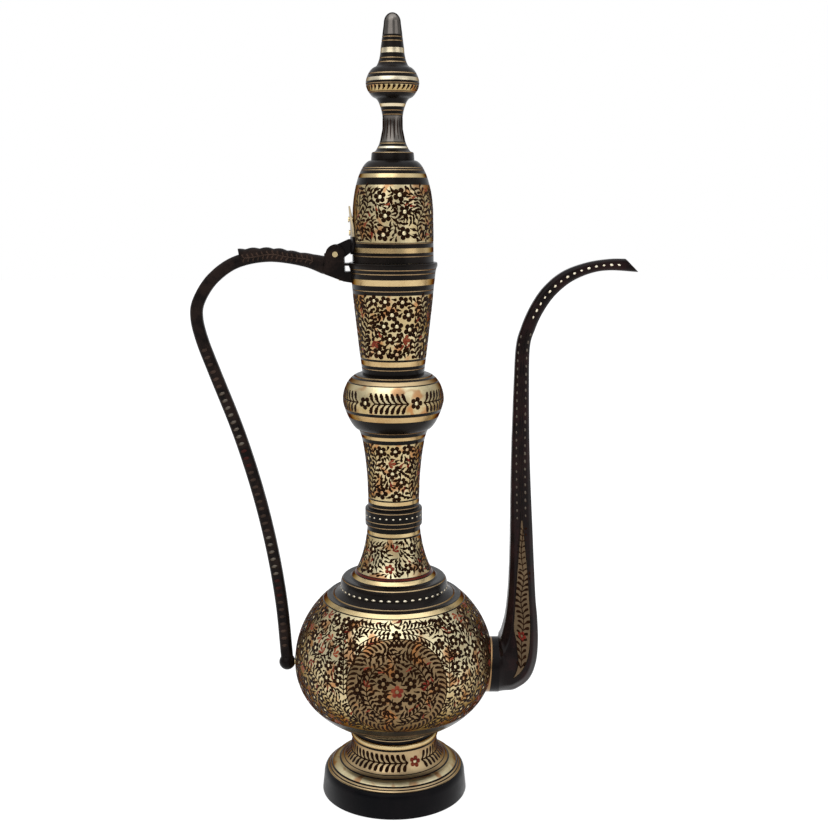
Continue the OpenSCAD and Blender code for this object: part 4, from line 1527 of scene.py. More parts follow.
@dataclass
class Bowl(TurnedPiece):
    """Round bowl, engraved all over, with a medallion on the front and one on the back."""

    node = "bowl"
    base = Skin.GROUND
    shell = (46.1, 0.0)
    bands = (
        Stripe(56.0, 76.6, Skin.BLACK), line(69.4, 0.9), Stripe(161.4, 162.1, Skin.BLACK),
        Stripe(162.1, 164.6), Stripe(164.6, 166.0, Skin.BLACK),
    )
    field_sizes = OrnamentSizes(flower=9.4, leaf_length=4.4, leaf_width=2.0, relief=0.12, fill_gap=0.48)
    panel_sizes = OrnamentSizes(
        flower=10.2, leaf_length=4.8, leaf_width=2.1, relief=0.1, fill_gap=0.45, lift=0.04,
        heart="medallion_brass",
    )
    ring_sizes = OrnamentSizes(
        leaf_length=6.8, leaf_width=2.1, leaf_curl=4.2, spacing=4.2, splay=GARLAND_SPLAY, relief=0.1,
        lift=0.04,
    )
    wide_z: float = 109.5
    seat_r: float = 36.0
    mouth_r: float = 52.6
    under_power: float = 2.1
    spigot_r: float = 29.0
    spout_z: float = 105.0
    stud_z: float = 107.0
    field_low: float = 77.0
    field_high: float = 161.6
    field_pitch: float = 10.4
    medallion_z: float = 113.5
    medallion_r: float = 39.4
    medallion_turn: float = math.radians(2.5)
    wreath_r: float = 23.0
    relief: float = 0.14
    corner_path: tuple[Point, ...] = ((46, -34), (58, 2), (84, 6))

    def outline(self) -> list[Point]:
        """Outside of the half section.

        Returns:
            Points from the bottom up.
        """
        r, low, high = reach_of(self.node) - self.relief, top_of("foot"), top_of(self.node)
        seat_angle = math.acos((self.seat_r / r) ** (self.under_power / 2))
        depth = (self.wide_z - low) / math.sin(seat_angle) ** (2 / self.under_power)
        mouth_angle = math.acos(self.mouth_r / r)
        height = (high - self.wide_z) / math.sin(mouth_angle)
        bow = 2 / self.under_power
        under = [seat_angle * (1 - i / 40) for i in range(40)]
        over = [mouth_angle * i / 40 for i in range(41)]
        return [(r * math.cos(t) ** bow, self.wide_z - depth * math.sin(t) ** bow) for t in under] + [
            (r * math.cos(t), self.wide_z + height * math.sin(t)) for t in over
        ]

    def head(self) -> list[Point]:
        """Corners of the section before its outline: the spigot under the floor."""
        low = top_of("foot")
        inner = self.spigot_r - 1.4
        return [(0.0, low), (inner, low), (inner, low - 4), (self.spigot_r, low - 4), (self.spigot_r, low)]

    def tail(self) -> list[Point]:
        """Corners of the section after its outline, down to the middle of the floor."""
        return super().tail()[:-1]

    def bores(self) -> list[Bore]:
        """Holes for the spout and for the stud of the handle."""
        r = reach_of(self.node)
        return [Bore(0, self.spout_z, 13, r / 2, r + 1), Bore(0, self.stud_z, 2.1, -r - 1, -r / 2)]

    def centres(self, surface: TurnedSurface) -> dict[str, float]:
        """Drawn places round the bowl of the middles of the medallions."""
        return {"front": self.medallion_turn * surface.girth, "back": surface.period / 2}

    def draw(self, surface: TurnedSurface) -> dict[str, Drawing]:
        """Draw the medallions front and back, and flowers between them.

        Args:
            surface: The bowl's own outside.

        Returns:
            Drawings by the name of their piece.
        """
        low, high = surface.run_at(self.field_low), surface.run_at(self.field_high)
        middle, flange_y = surface.run_at(self.medallion_z), surface.run_at(self.spout_z)
        half, quarter = surface.period / 2, surface.period / 4
        reach = self.medallion_r + 3.5
        centres = self.centres(surface)

        def from_centre(x: float, centre: float) -> float:
            """Drawn distance round the bowl from the middle of a medallion."""
            return (x - centre + half) % surface.period - half

        def beside(x: float, y: float) -> bool:
            """Say whether a place lies in a side field, clear of the spout and the handle."""
            if any(abs(from_centre(x, c)) < reach + 2 for c in centres.values()):
                return False
            return math.hypot(x - quarter, y - flange_y) > 26 and math.hypot(x + quarter, y - flange_y) > 9

        drawings: dict[str, Drawing] = {}
        field = Drawing(surface, self.field_sizes, 35)
        for seed, (name, centre) in enumerate(centres.items()):
            ring = Drawing(surface, self.ring_sizes)
            panel = Drawing(surface, self.panel_sizes, 33 + seed)
            self.medallion(ring, panel, centre, middle)
            panel.fill(low, high, lambda x, y, c=centre: abs(from_centre(x, c)) < reach)
            drawings["bowl_ring_" + name] = ring
            drawings["bowl_medallion_" + name] = panel
            for way in (-1, 1):
                path = bend(*((centre + way * across, middle + up) for across, up in self.corner_path))
                field.vine([p for p in path if beside(*p)], 1.05)
        field.flower_field(low, high, self.field_pitch, beside)
        drawings["bowl_side_flowers"] = field
        return drawings

    def medallion(self, ring: Drawing, panel: Drawing, x: float, y: float) -> None:
        """Draw a medallion: a ring of fern, a wreath, and flowers, under a fern canopy.

        Args:
            ring: Drawing that takes the ring.
            panel: Drawing that takes the rest.
            x, y: Drawn place of its middle.
        """

        def place(across: float, up: float) -> Point:
            """Drawn place at true distances from the middle."""
            return x + across / float(panel.surface.scale_at(y + up)), y + up

        def around(radius: float, turn: float) -> Point:
            """Drawn place at a true distance and direction from the middle."""
            return place(radius * math.cos(turn), radius * math.sin(turn))

        def arc(way: int, radius: float, start: float, end: float) -> list[Point]:
            """Drawn arc round the middle, on the right or mirrored to the left."""
            turns = [math.radians(start + (end - start) * i / 30) for i in range(31)]
            return [place(way * radius * math.cos(t), radius * math.sin(t)) for t in turns]

        flower = Motif.FLOWER
        for way in (-1, 1):
            ring.vine(arc(way, self.medallion_r, -90, 90), 1.0, side=way)
            panel.taken += [(*spot, 4.4) for spot in arc(way, self.medallion_r - 3.4, -90, 90)]
            panel.taken += [(*spot, 3.4) for spot in arc(way, 14.0, -90, 90)]
            panel.vine(arc(way, self.wreath_r, -86, 62), 1.0)
            panel.vine(arc(way, self.medallion_r + 4.5, 84, 34), 0.95, side=-way)
            panel.vine([place(way * (self.medallion_r + 2.6), 3.6 * i - 6) for i in range(15)], 0.85)
            panel.vine([place(way * (4 + 3 * i), 46 + 0.2 * i) for i in range(9)], 0.95)
            panel.mark(flower, *place(way * 30.5, 0.0), 0.4, 0.95)
            panel.sprig(*place(way * 24.5, 3.5), math.pi / 2 + way * 0.9, 0.9)
            panel.mark(flower, *place(way * 34.0, 32.0), 0.2, 0.95)
            panel.mark(flower, *place(way * 34.0, 48.0), 0.9, 0.95)
        panel.mark(flower, *place(0, 0), 0.3, 1.0, Tint.RED)
        panel.mark(flower, *place(0, 42), 0.3, 0.8)
        panel.mark(flower, *place(0, 24), 0.3, 0.7)
        for k in range(6):
            turn = math.pi / 6 + k * math.pi / 3
            panel.mark(flower, *around(12, turn), turn)
            turn += math.pi / 6
            panel.mark(Motif.LEAF, *around(12.5, turn), turn - 0.5, 0.9)
            panel.mark(Motif.LEAF, *around(6.2, turn), turn, 0.7)

    def build(self, engraver: Engraver) -> None:
        """Make the bowl, its ornament and the tinted ground of the medallions.

        Args:
            engraver: Maker of the ornament.
        """
        super().build(engraver)
        surface = TurnedSurface(self.outline())
        y, r = surface.run_at(self.medallion_z), self.medallion_r
        angles = np.linspace(0, 2 * math.pi, 96, endpoint=False)
        shares = [i / 20 for i in range(1, 21)]
        plate = [(share, 0.03) for share in shares] + [(share, -0.4) for share in shares[::-1]]
        for name, x in self.centres(surface).items():
            rings = []
            for share, lift in plate:
                up = y + r * share * np.sin(angles)
                across = x + r * share * np.cos(angles) / surface.scale_at(up)
                rings.append(surface.wrap(across, up, np.full(len(angles), lift)))
            ground = loft("bowl_ground_" + name, np.array(rings), [engraver.palette["medallion_brass"]])
            seat(ground, self.body, self.slot)


@dataclass
class ShoulderRing(TurnedPiece):
    """Black ring over the bowl, with a row of brass dots."""

    node = "shoulder_ring"
    slot = "black_lacquer"
    shell = (31.1, 44.6)
    bands = (line(165.8, 0.5), line(178.4))
    dots = OrnamentSizes(dot_length=3.8, dot_width=2.2, relief=0.12)
    ornament = (MarkRow("shoulder_dots", dots, 171.2, 43, Tint.BRASS),)
    base_r: float = 50.0
    wall_r: float = 42.3
    top_r: float = 39.0

    def outline(self) -> list[Point]:
        """Outside, from the bottom up."""
        low, high = top_of("bowl"), top_of(self.node)
        hollow = cove(self.base_r, low, self.wall_r + 0.3, low + 4.8, 1.3)
        return hollow + ovolo(self.wall_r, high - 6, self.top_r, high)


@dataclass
class LowerNeck(TurnedPiece):
    """Flared lower neck with flowers and red sprigs."""

    node = "lower_neck"
    level = 198.0
    shell = (16.9, 29.6)
    bands = (
        Stripe(180.4, 182.9), Stripe(183.6, 185.0, Skin.RED), Stripe(185.5, 214.2, Skin.GROUND),
        Stripe(215.6, 218.3),
    )
    flowers = OrnamentSizes(flower=9.0, leaf_length=4.4, leaf_width=2.1, fill_gap=0.47)
    ornament = (FlowerField("lower_neck_flowers", flowers, 21, 185.8, 214.0, 15.0),)
    base_r: float = 35.0
    top_r: float = 20.8

    def outline(self) -> list[Point]:
        """Outside, from the bottom up."""
        return cove(self.base_r, top_of("shoulder_ring"), self.top_r, top_of(self.node), 1.6, 30)


@dataclass
class NeckRing(TurnedPiece):
    """Black ring round the neck, with a row of brass dots."""

    node = "neck_ring"
    slot = "black_lacquer"
    shell = (16.2, 15.4)
    bands = (line(222.8), line(226.5), line(234.4))
    dots = OrnamentSizes(dot_length=2.1, dot_width=1.5, relief=0.12)
    ornament = (MarkRow("neck_ring_dots", dots, 230.5, 26, Tint.BRASS),)
    seat_r: float = 21.2

    def outline(self) -> list[Point]:
        """Outside, from the bottom up."""
        low, high, r = top_of("lower_neck"), top_of(self.node), reach_of(self.node)
        return [
            (self.seat_r, low), (self.seat_r, low + 1),
            *bend((self.seat_r + 0.2, low + 1.1), (r, low + 1.1), (r, low + 2.2), 6),
            (r, high - 1.6), *bend((r, high - 1.3), (r, high - 0.2), (r - 1, high), 6),
        ]


@dataclass
class MidNeck(TurnedPiece):
    """Slender middle neck that flares to the knop."""

    node = "mid_neck"
    level = 268.0
    shell = (24.3, 14.7)
    bands = (
        line(237.7), Stripe(240.6, 243.4), Stripe(244.6, 289.4, Skin.GROUND), Stripe(292.6, 295.2),
        line(298.4),
    )
    flowers = OrnamentSizes(flower=10.2, leaf_length=4.6, leaf_width=2.5, fill_gap=0.48)
    ornament = (FlowerField("mid_neck_flowers", flowers, 22, 244.8, 289.2, 10.8, 4),)
    base_r: float = 20.1
    top_r: float = 28.2

    def outline(self) -> list[Point]:
        """Outside, from the bottom up."""
        low = top_of("neck_ring")
        flare = cove(self.top_r, top_of(self.node), self.base_r, low + 9, 1.75, 30)
        return [(self.base_r, low), *flare[::-1]]


@dataclass
class Knop(TurnedPiece):
    """Swelling of the neck, with a garland."""

    node = "knop"
    level = 324.0
    shell = (20.0, 22.8)
    bands = (
        Stripe(308.7, 312.8), Stripe(315.2, 335.6, Skin.GROUND), Stripe(336.4, 338.9, Skin.DULL),
        line(340.5),
    )
    leaves = OrnamentSizes(
        flower=10.4, leaf_length=7.4, leaf_width=3.2, leaf_curl=5.4, spacing=4.2, stem=1.1,
        splay=GARLAND_SPLAY,
    )
    ornament = (Garland("knop_garland", leaves, 323.6, 6, math.radians(27.6)),)
    wide_h: float = 22.5
    base_r: float = 28.4
    top_r: float = 24.5

    def outline(self) -> list[Point]:
        """Outside, from the bottom up."""
        low, high, r = top_of("mid_neck"), top_of(self.node), reach_of(self.node)
        under = [(p, low + q) for p, q in ovolo(r, self.wide_h, self.base_r, 0, 1.4)]
        return under[::-1] + ovolo(r, low + self.wide_h, self.top_r, high)[1:]


@dataclass
class MouthCup(TurnedPiece):
    """Tall cup that carries the lid."""

    node = "mouth_cup"
    level = 380.0
    bands = (
        line(346.7), Stripe(349.5, 353.2), Stripe(354.8, 403.6, Skin.GROUND), line(406.7),
        Stripe(410.8, 415.2), line(419.3), line(422.3),
    )
    flowers = OrnamentSizes(flower=10.4, leaf_length=4.8, leaf_width=3.0, fill_gap=0.47)
    ornament = (FlowerField("mouth_cup_flowers", flowers, 24, 355.0, 403.4, 11.4, 4),)
    base_r: float = 23.9
    top_r: float = 32.4
    seat_r: float = 18.5
    lip_h: float = 8.0
    rivet_r: float = 1.4
    rivet_y: float = 3.0
    rivet_z: float = 414.5

    def outline(self) -> list[Point]:
        """Outside, from the bottom up."""
        low, high, lip = top_of("knop"), top_of(self.node), reach_of(self.node)
        under = high - self.lip_h
        return [
            *bend((self.base_r, low), (self.base_r + 5, low + 42), (self.top_r, under), 40),
            *bend((self.top_r + 0.1, under + 0.6), (self.top_r + 0.4, under + 3), (lip, high - 2.6), 8),
            *bend((lip, high - 1.4), (lip, high), (lip - 0.7, high), 6),
        ]

    def tail(self) -> list[Point]:
        """Corners of the section after its outline.

        Returns:
            Its inside, from the top down.
        """
        outline = self.outline()
        low, high, mouth = outline[0][1], outline[-1][1], self.top_r - self.wall
        inner = within(inset(outline, self.wall), low + self.wall, high - self.lip_h - 1)
        return [
            (mouth, high), (mouth, high - self.lip_h), *inner[::-1],
            (self.seat_r, low + self.wall), (self.seat_r, low),
        ]

    def bores(self) -> list[Bore]:
        """Holes for the rivets of the hinge block."""
        return [Bore(y, self.rivet_z, self.rivet_r, -36, -12) for y in (-self.rivet_y, self.rivet_y)]


@dataclass
class Lid(TurnedPiece):
    """Domed lid with large flowers, clear of the hinge leaf."""

    node = "lid_dome"
    body = LID
    level = 460.0
    bands = (
        line(432.4), Stripe(435.0, 438.6), line(442.1, 0.6), Stripe(442.8, 484.9, Skin.GROUND),
        Stripe(490.2, 493.1), line(495.8, 0.5), line(497.4, 0.5),
    )
    flowers = OrnamentSizes(flower=11.0, leaf_length=4.6, leaf_width=2.2, fill_gap=0.47)
    ornament = (FlowerField("lid_flowers", flowers, 25, 443.0, 484.7, 14.0, 4, 14.0),)
    edge_r: float = 31.0
    wall_h: float = 35.0
    crown_r: float = 16.6
    gap: float = 0.3
    stud_r: float = 3.1
    nut_r: float = 7.0
    rivet_r: float = 1.4
    rivet_rise: tuple[float, float] = (16.0, 26.0)

    def outline(self) -> list[Point]:
        """Outside, from the bottom up."""
        low, high = top_of("mouth_cup") + self.gap, top_of(self.node)
        dome = ovolo(self.edge_r - 0.5, low + self.wall_h, self.crown_r, high, 1.85, 40)
        return [(self.edge_r, low), *dome]

    def tail(self) -> list[Point]:
        """Corners of the section after its outline.

        Returns:
            Its inside, from the top down.
        """
        outline = self.outline()
        low, high = outline[0][1], outline[-1][1]
        crown = high - self.wall
        inner = within(inset(outline, self.wall), low + self.wall, crown)
        return [
            (self.stud_r, high), (self.stud_r, crown), (self.nut_r, crown), *inner[::-1],
            (self.edge_r - self.wall, low),
        ]

    def bores(self) -> list[Bore]:
        """Holes for the rivets of the hinge leaf."""
        r, pin_z = self.edge_r, hinge_pin()[1]
        return [Bore(0, pin_z + rise, self.rivet_r, -r - 1, -r / 2) for rise in self.rivet_rise]


@dataclass
class FinialCollar(TurnedPiece):
    """Black collar between the lid and the finial."""

    node = "finial_collar"
    body = LID
    slot = "black_lacquer"
    bands = (line(508.6, 0.5),)
    stud_r: float = 3.1

    def outline(self) -> list[Point]:
        """Outside, from the bottom up."""
        low, high, r = top_of("lid_dome"), top_of(self.node), reach_of(self.node)
        return [
            (r - 0.15, low), (r, low + 0.15), (r, low + 0.8), (r - 0.4, high - 1), (r - 0.6, high - 0.5),
            (r - 1.4, high),
        ]

    def tail(self) -> list[Point]:
        """Inside, from the top down."""
        return [(self.stud_r, top_of(self.node)), (self.stud_r, top_of("lid_dome"))]


@dataclass
class Finial(TurnedPiece):
    """Turned finial: a stem whose fluting is painted shade in black strips, a bulb with slanting leaves,
    and a spire.
    """

    node = "finial"
    body = LID
    slot = "black_lacquer"
    bare = "bright_brass"
    bands = (
        Stripe(511.8, 513.2), line(515.5), Stripe(516.6, 535.6, Skin.SMOKED), line(536.5), line(539.4),
        Stripe(542.2, 544.3), line(552.3), Stripe(553.0, 557.3, Skin.GROUND), line(558.5),
        Stripe(560.4, 563.0), line(565.8), line(574.2), line(577.2), Stripe(580.8, 584.4), line(589.4),
        line(592.3), Stripe(594.0, 610.0, Skin.SMOKED),
    )
    leaves = OrnamentSizes(leaf_length=4.2, leaf_width=2.3, leaf_curl=0.6)
    # The fluting is not cut: black strips paint the shade in its hollows.
    flutes = OrnamentSizes(dot_length=19.0, dot_width=1.0, relief=0.06)
    ornament = (
        MarkRow("finial_leaves", leaves, 553.6, 32, motif=Motif.LEAF, turn=math.radians(55)),
        MarkRow("finial_flute_shade", flutes, 526.0, 18, turn=math.pi / 2, shift=0.5),
    )
    base_r: float = 14.4
    stem_r: float = 7.3
    bulb_r: float = 20.0
    bulb_h: float = 50.0
    spire_r: float = 8.7
    tip_r: float = 6.3
    bore_r: float = 3.1
    bore_h: float = 20.5

    def outline(self) -> list[Point]:
        """Outside of the half section.

        Returns:
            Points from the bottom up.
        """
        low, high = top_of("finial_collar"), top_of(self.node)
        wide, r = low + self.bulb_h, self.bulb_r
        under = [(p, wide + q) for p, q in ovolo(r, 0, r - 6.4, -10.4, 1.5)]
        return [
            *cove(self.base_r, low, self.stem_r, low + 20, 1.6),
            *cove(r - 6.6, wide - 10.6, self.stem_r, low + 22, 1.7)[::-1],
            *under[::-1],
            *ovolo(r - 0.1, wide + 0.6, self.spire_r + 4.4, wide + 11.6, 1.6),
            *cove(self.spire_r + 4, wide + 12, self.spire_r, wide + 25, 1.6),
            *ovolo(self.tip_r, high - 7.5, 0, high),
        ]

    def head(self) -> list[Point]:
        """Corners of the section before its outline: the bore for the stud."""
        low = top_of("finial_collar")
        return [(0.0, low + self.bore_h), (self.bore_r, low + self.bore_h), (self.bore_r, low)]


def hinge_pin() -> Point:
    """Place of the hinge pin in the XZ plane."""
    place = frame["joints"][0]["pos_m"]
    return place[0] / MM, place[2] / MM


# Handle and spout


BEVEL = 0.42
CORNER_CUT = 0.5
SIDES = {-1: "front", 1: "back"}


def bevelled(upper: float, under: float, depth: float, parts: int = 1) -> Array:
    """Section of a bar with bevelled edges whose corners are softened.

    Args:
        upper, under: Half widths to either side.
        depth: Half depth along Y.
        parts: Number of stretches of each flat.

    Returns:
        Points round the section, across it and along Y.
    """
    c, b = BEVEL * min(upper, depth), depth
    corners = np.array([
        (upper, c - b), (upper, b - c), (upper - c, b), (c - under, b),
        (-under, b - c), (-under, c - b), (c - under, -b), (upper - c, -b),
    ])
    ring = []
    for before, corner, after in zip(np.roll(corners, 1, 0), corners, np.roll(corners, -1, 0)):
        for other in (before, after):
            way = other - corner
            length = float(np.linalg.norm(way))
            ring.append(corner + way / max(length, 1e-6) * min(CORNER_CUT, 0.25 * length))
    rows = []
    for i, (first, last) in enumerate(zip(ring, ring[1:] + ring[:1])):
        count = parts if i % 2 else 1
        rows += [first + (last - first) * k / count for k in range(count)]
    return np.array(rows)


def stood(section: Array, centre: Array, across: Array) -> Array:
    """Stand a section of a bar at a place in the XZ plane, by the unit vector across it there."""
    place = centre + section[:, :1] * across
    return np.column_stack([place[:, 0], section[:, 1], place[:, 1]])


def strap(
    name: str, surface: Surface, runs: Array, middle: Array, half: Array, lift: float,
    material: Material,
) -> Piece:
    """Lay a low rounded strap along a surface.

    Args:
        name: Name of the piece.
        surface: Surface that carries it.
        runs: Drawn places along the surface.
        middle: Drawn place across it, for each of them.
        half: Half width, for each of them.
        lift: Height of its back over the surface.
        material: Its finish.

    Returns:
        The closed piece.
    """
    profile = np.array([(-1, -0.4), (-0.8, 0.55), (-0.35, 1), (0.35, 1), (0.8, 0.55), (1, -0.4)])
    rings = [
        surface.wrap(np.full(len(profile), x), y + profile[:, 0] * h, profile[:, 1] * lift)
        for x, y, h in zip(runs, middle, half)
    ]
    return loft(name, np.array(rings), [material])


@dataclass
class Spout:
    """Swan-neck spout of bevelled tube: an elbow, a shaft and a curved tip, with leaf panels."""

    marks = OrnamentSizes(
        flower=8.0, leaf_length=5.8, leaf_width=2.9, leaf_curl=2.2, splay=math.radians(34), spacing=4.2,
        dot_length=3.5, dot_width=2.1, relief=0.2, heart="panel_brass",
    )
    wall: float = 1.5
    steps: int = 12
    panel_foot: float = 9.0
    widest_z: float = 135.0
    point_z: float = 226.0
    split_z: float = 376.0
    flower_z: float = 133.0
    stem_gap_z: Point = (181.0, 185.0)
    stem_top_z: float = 218.0
    panel_halves: tuple[float, ...] = (0.4, 6.2, 7.4, 4.6, 0.9)
    panel_middles: tuple[float, ...] = (9.0, 3.0, 0.0, 0.0)
    ridge_halves: tuple[float, ...] = (0.9, 1.0, 0.15)
    rib_half: float = 0.55
    bead_pitch: float = 5.8
    dot_pitch: float = 6.2
    shaft_low: tuple[float, ...] = (7.1, 55, 29.3, 55, 10)
    root_rows: tuple[tuple[float, ...], ...] = (
        (0, 22, 0, -22, 20.5), (1.1, 23.2, 14, -16.8, 19), (2.1, 25.4, 24.5, -9, 17),
        (3.1, 28.8, 29.9, 4, 15), (4.3, 34, 31.5, 21, 13), (5.7, 41.5, 30.7, 41, 11.2),
    )
    shaft_rows: tuple[tuple[float, ...], ...] = (
        (0.1, 8.1, 28, 9.2), (0.26, 8.5, 26.2, 8.2), (0.57, 8.6, 22.9, 6.6), (0.85, 9.8, 21.5, 5.6),
    )
    tip_rows: tuple[tuple[float, ...], ...] = (
        (11.1, -67.6, 21.7, -67.6, 5.2), (14.9, -52.4, 25.4, -53.8, 5), (21.9, -36, 31.1, -41, 4.9),
        (32, -21.1, 40, -28.1, 4.7), (46.5, -9.4, 52.5, -17.4, 4.6), (64.5, -2.8, 67.5, -10.8, 4.5),
        (81.5, -0.2, 82, -8.7, 4.4), (93.3, 0, 103.2, -10, 4.2),
    )

    def stations(self) -> dict[str, Array]:
        """Run one smooth curve through the whole spout and part it at its joints.

        Returns:
            Rows of upper place, under place and half depth, by node.
        """
        low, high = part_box("spout_collar")
        x, hole_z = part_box("spout_root")[0].x / MM, (low.z + high.z) / 2 / MM
        top_z = top_of("spout_tip")
        root = np.array([*self.root_rows, self.shaft_low]) + (x, hole_z, x, hole_z, 0)
        tip = np.array(self.tip_rows) + (x, top_z, x, top_z, 0)
        z0, z1 = root[-1][1], tip[0][1]
        shaft = [root[-1]]
        for share, upper, under, depth in self.shaft_rows:
            z = z0 + share * (z1 - z0)
            shaft.append(np.array((x + upper, z, x + under, z, depth)))
        whole = through([*root, *shaft[1:], *tip], self.steps)
        cuts = np.cumsum([0, len(root) - 1, len(shaft), len(tip) - 1]) * self.steps
        names = ("spout_root", "spout_shaft", "spout_tip")
        return {name: whole[first:last + 1] for name, first, last in zip(names, cuts, cuts[1:])}

    def ring(self, row: Array, wall: float, roundness: float) -> Array:
        """Ring of the tube at a station.

        Args:
            row: Upper place, under place and half depth.
            wall: How far it is moved in.
            roundness: From 0 for bevelled edges to 1 for a round ring.

        Returns:
            Points round the tube.
        """
        span = row[2:4] - row[0:2]
        width = float(np.linalg.norm(span))
        half, depth = width / 2 - wall, row[4] - wall
        section = bevelled(half, half, depth, 4)
        round_depth = depth + roundness * (half - depth)
        oval = section / np.hypot(section[:, :1] / half, section[:, 1:] / round_depth)
        return stood(section + roundness * (oval - section), (row[0:2] + row[2:4]) / 2, span / width)

    def build(self, engraver: Engraver) -> None:
        """Make the tube and the ornament of both its sides.

        Args:
            engraver: Maker of the ornament.
        """
        rows = self.stations()
        finish = engraver.palette["spout_lacquer"]
        for node, stations in rows.items():
            fade = np.clip(1 - np.arange(len(stations)) / self.steps, 0, 1) * (node == "spout_root")
            rounds = fade * fade * (3 - 2 * fade)
            outer, bore = (
                np.array([self.ring(row, wall, share) for row, share in zip(stations, rounds)])
                for wall in (0, self.wall)
            )
            seat(loft("dressed_" + node, outer, [finish], bore), VESSEL, "spout_lacquer", node)
        route = np.vstack([rows["spout_root"][:-1], rows["spout_shaft"][:-1], rows["spout_tip"]])
        span = route[:, 2:4] - route[:, 0:2]
        across = span / np.linalg.norm(span, axis=1, keepdims=True)
        for side, label in SIDES.items():
            face = SweptFace((route[:, 0:2] + route[:, 2:4]) / 2, across, route[:, 4], side)
            self.dress(face, label, engraver)

    def dress(self, face: SweptFace, label: str, engraver: Engraver) -> None:
        """Put the leaf panel, its ribs and the dots on one side.

        Args:
            face: The side face.
            label: Name of the side.
            engraver: Maker of the ornament.
        """
        climb = np.maximum.accumulate(face.path[:, 1])

        def run_at(level: float) -> float:
            """Distance along the spout at a height below its bend."""
            return float(np.interp(level, climb, face.run))

        palette, foot, end = engraver.palette, self.panel_foot, float(face.run[-1])
        widest, point, split = run_at(self.widest_z), run_at(self.point_z), run_at(self.split_z)
        runs = np.linspace(foot, point, 60)
        stations = (foot, 0.5 * (foot + widest), widest, 0.5 * (widest + point), point)
        half = np.interp(runs, stations, self.panel_halves)
        middle = np.interp(runs, (foot, 0.6 * widest, widest, point), self.panel_middles)
        panel = strap("spout_panel_" + label, face, runs, middle, half, 0.05, palette["panel_brass"])
        seat(panel, VESSEL, "spout_lacquer")
        ridge = np.linspace(point, split, 60)[1:]
        whole = np.concatenate([runs, ridge])
        edge = np.concatenate([half, np.interp(ridge, (point, split - 8, split), self.ridge_halves)])
        spine = np.concatenate([middle, np.zeros(len(ridge))])
        thin = np.full(len(whole), self.rib_half)
        for way, name in ((-1, "upper"), (1, "under")):
            rib_name, place = f"spout_rib_{label}_{name}", spine + way * edge
            rib = strap(rib_name, face, whole, place, thin, 0.45, palette["handle_lacquer"])
            seat(rib, VESSEL, "spout_lacquer")
        marks = Drawing(face, self.marks)
        low_gap, high_gap, top = (run_at(z) for z in (*self.stem_gap_z, self.stem_top_z))
        for start, stop, grow in ((foot + 7, low_gap, 0.95), (high_gap, top, 0.6)):
            stem = np.linspace(start, stop, 30)
            wave = np.interp(stem, runs, middle) + 1.3 * grow * np.sin(stem / 6)
            marks.vine(list(zip(stem.tolist(), wave.tolist())), grow)
        marks.mark(Motif.FLOWER, run_at(self.flower_z), 0.0, 0.3, 1.0, Tint.RED)
        for k in range(int((end - split - 10) / self.bead_pitch)):
            grow = 0.88 + 0.12 * math.sin(2.1 * k)
            marks.mark(Motif.DOT, end - 10 - self.bead_pitch * k, 0.0, 0.0, grow, Tint.BRASS)
        for k in range(int((split - point) / self.dot_pitch)):
            x = split - 4 - self.dot_pitch * k
            marks.mark(Motif.DOT, x, 3.0, 0.0, 0.9 + 0.12 * math.sin(1.3 * k), Tint.DULL)
            marks.mark(Motif.DOT, x - 2, -3.6, 0.0, 0.85, Tint.DULL)
        engraver.engrave("spout_marks_" + label, marks, VESSEL, "spout_lacquer")


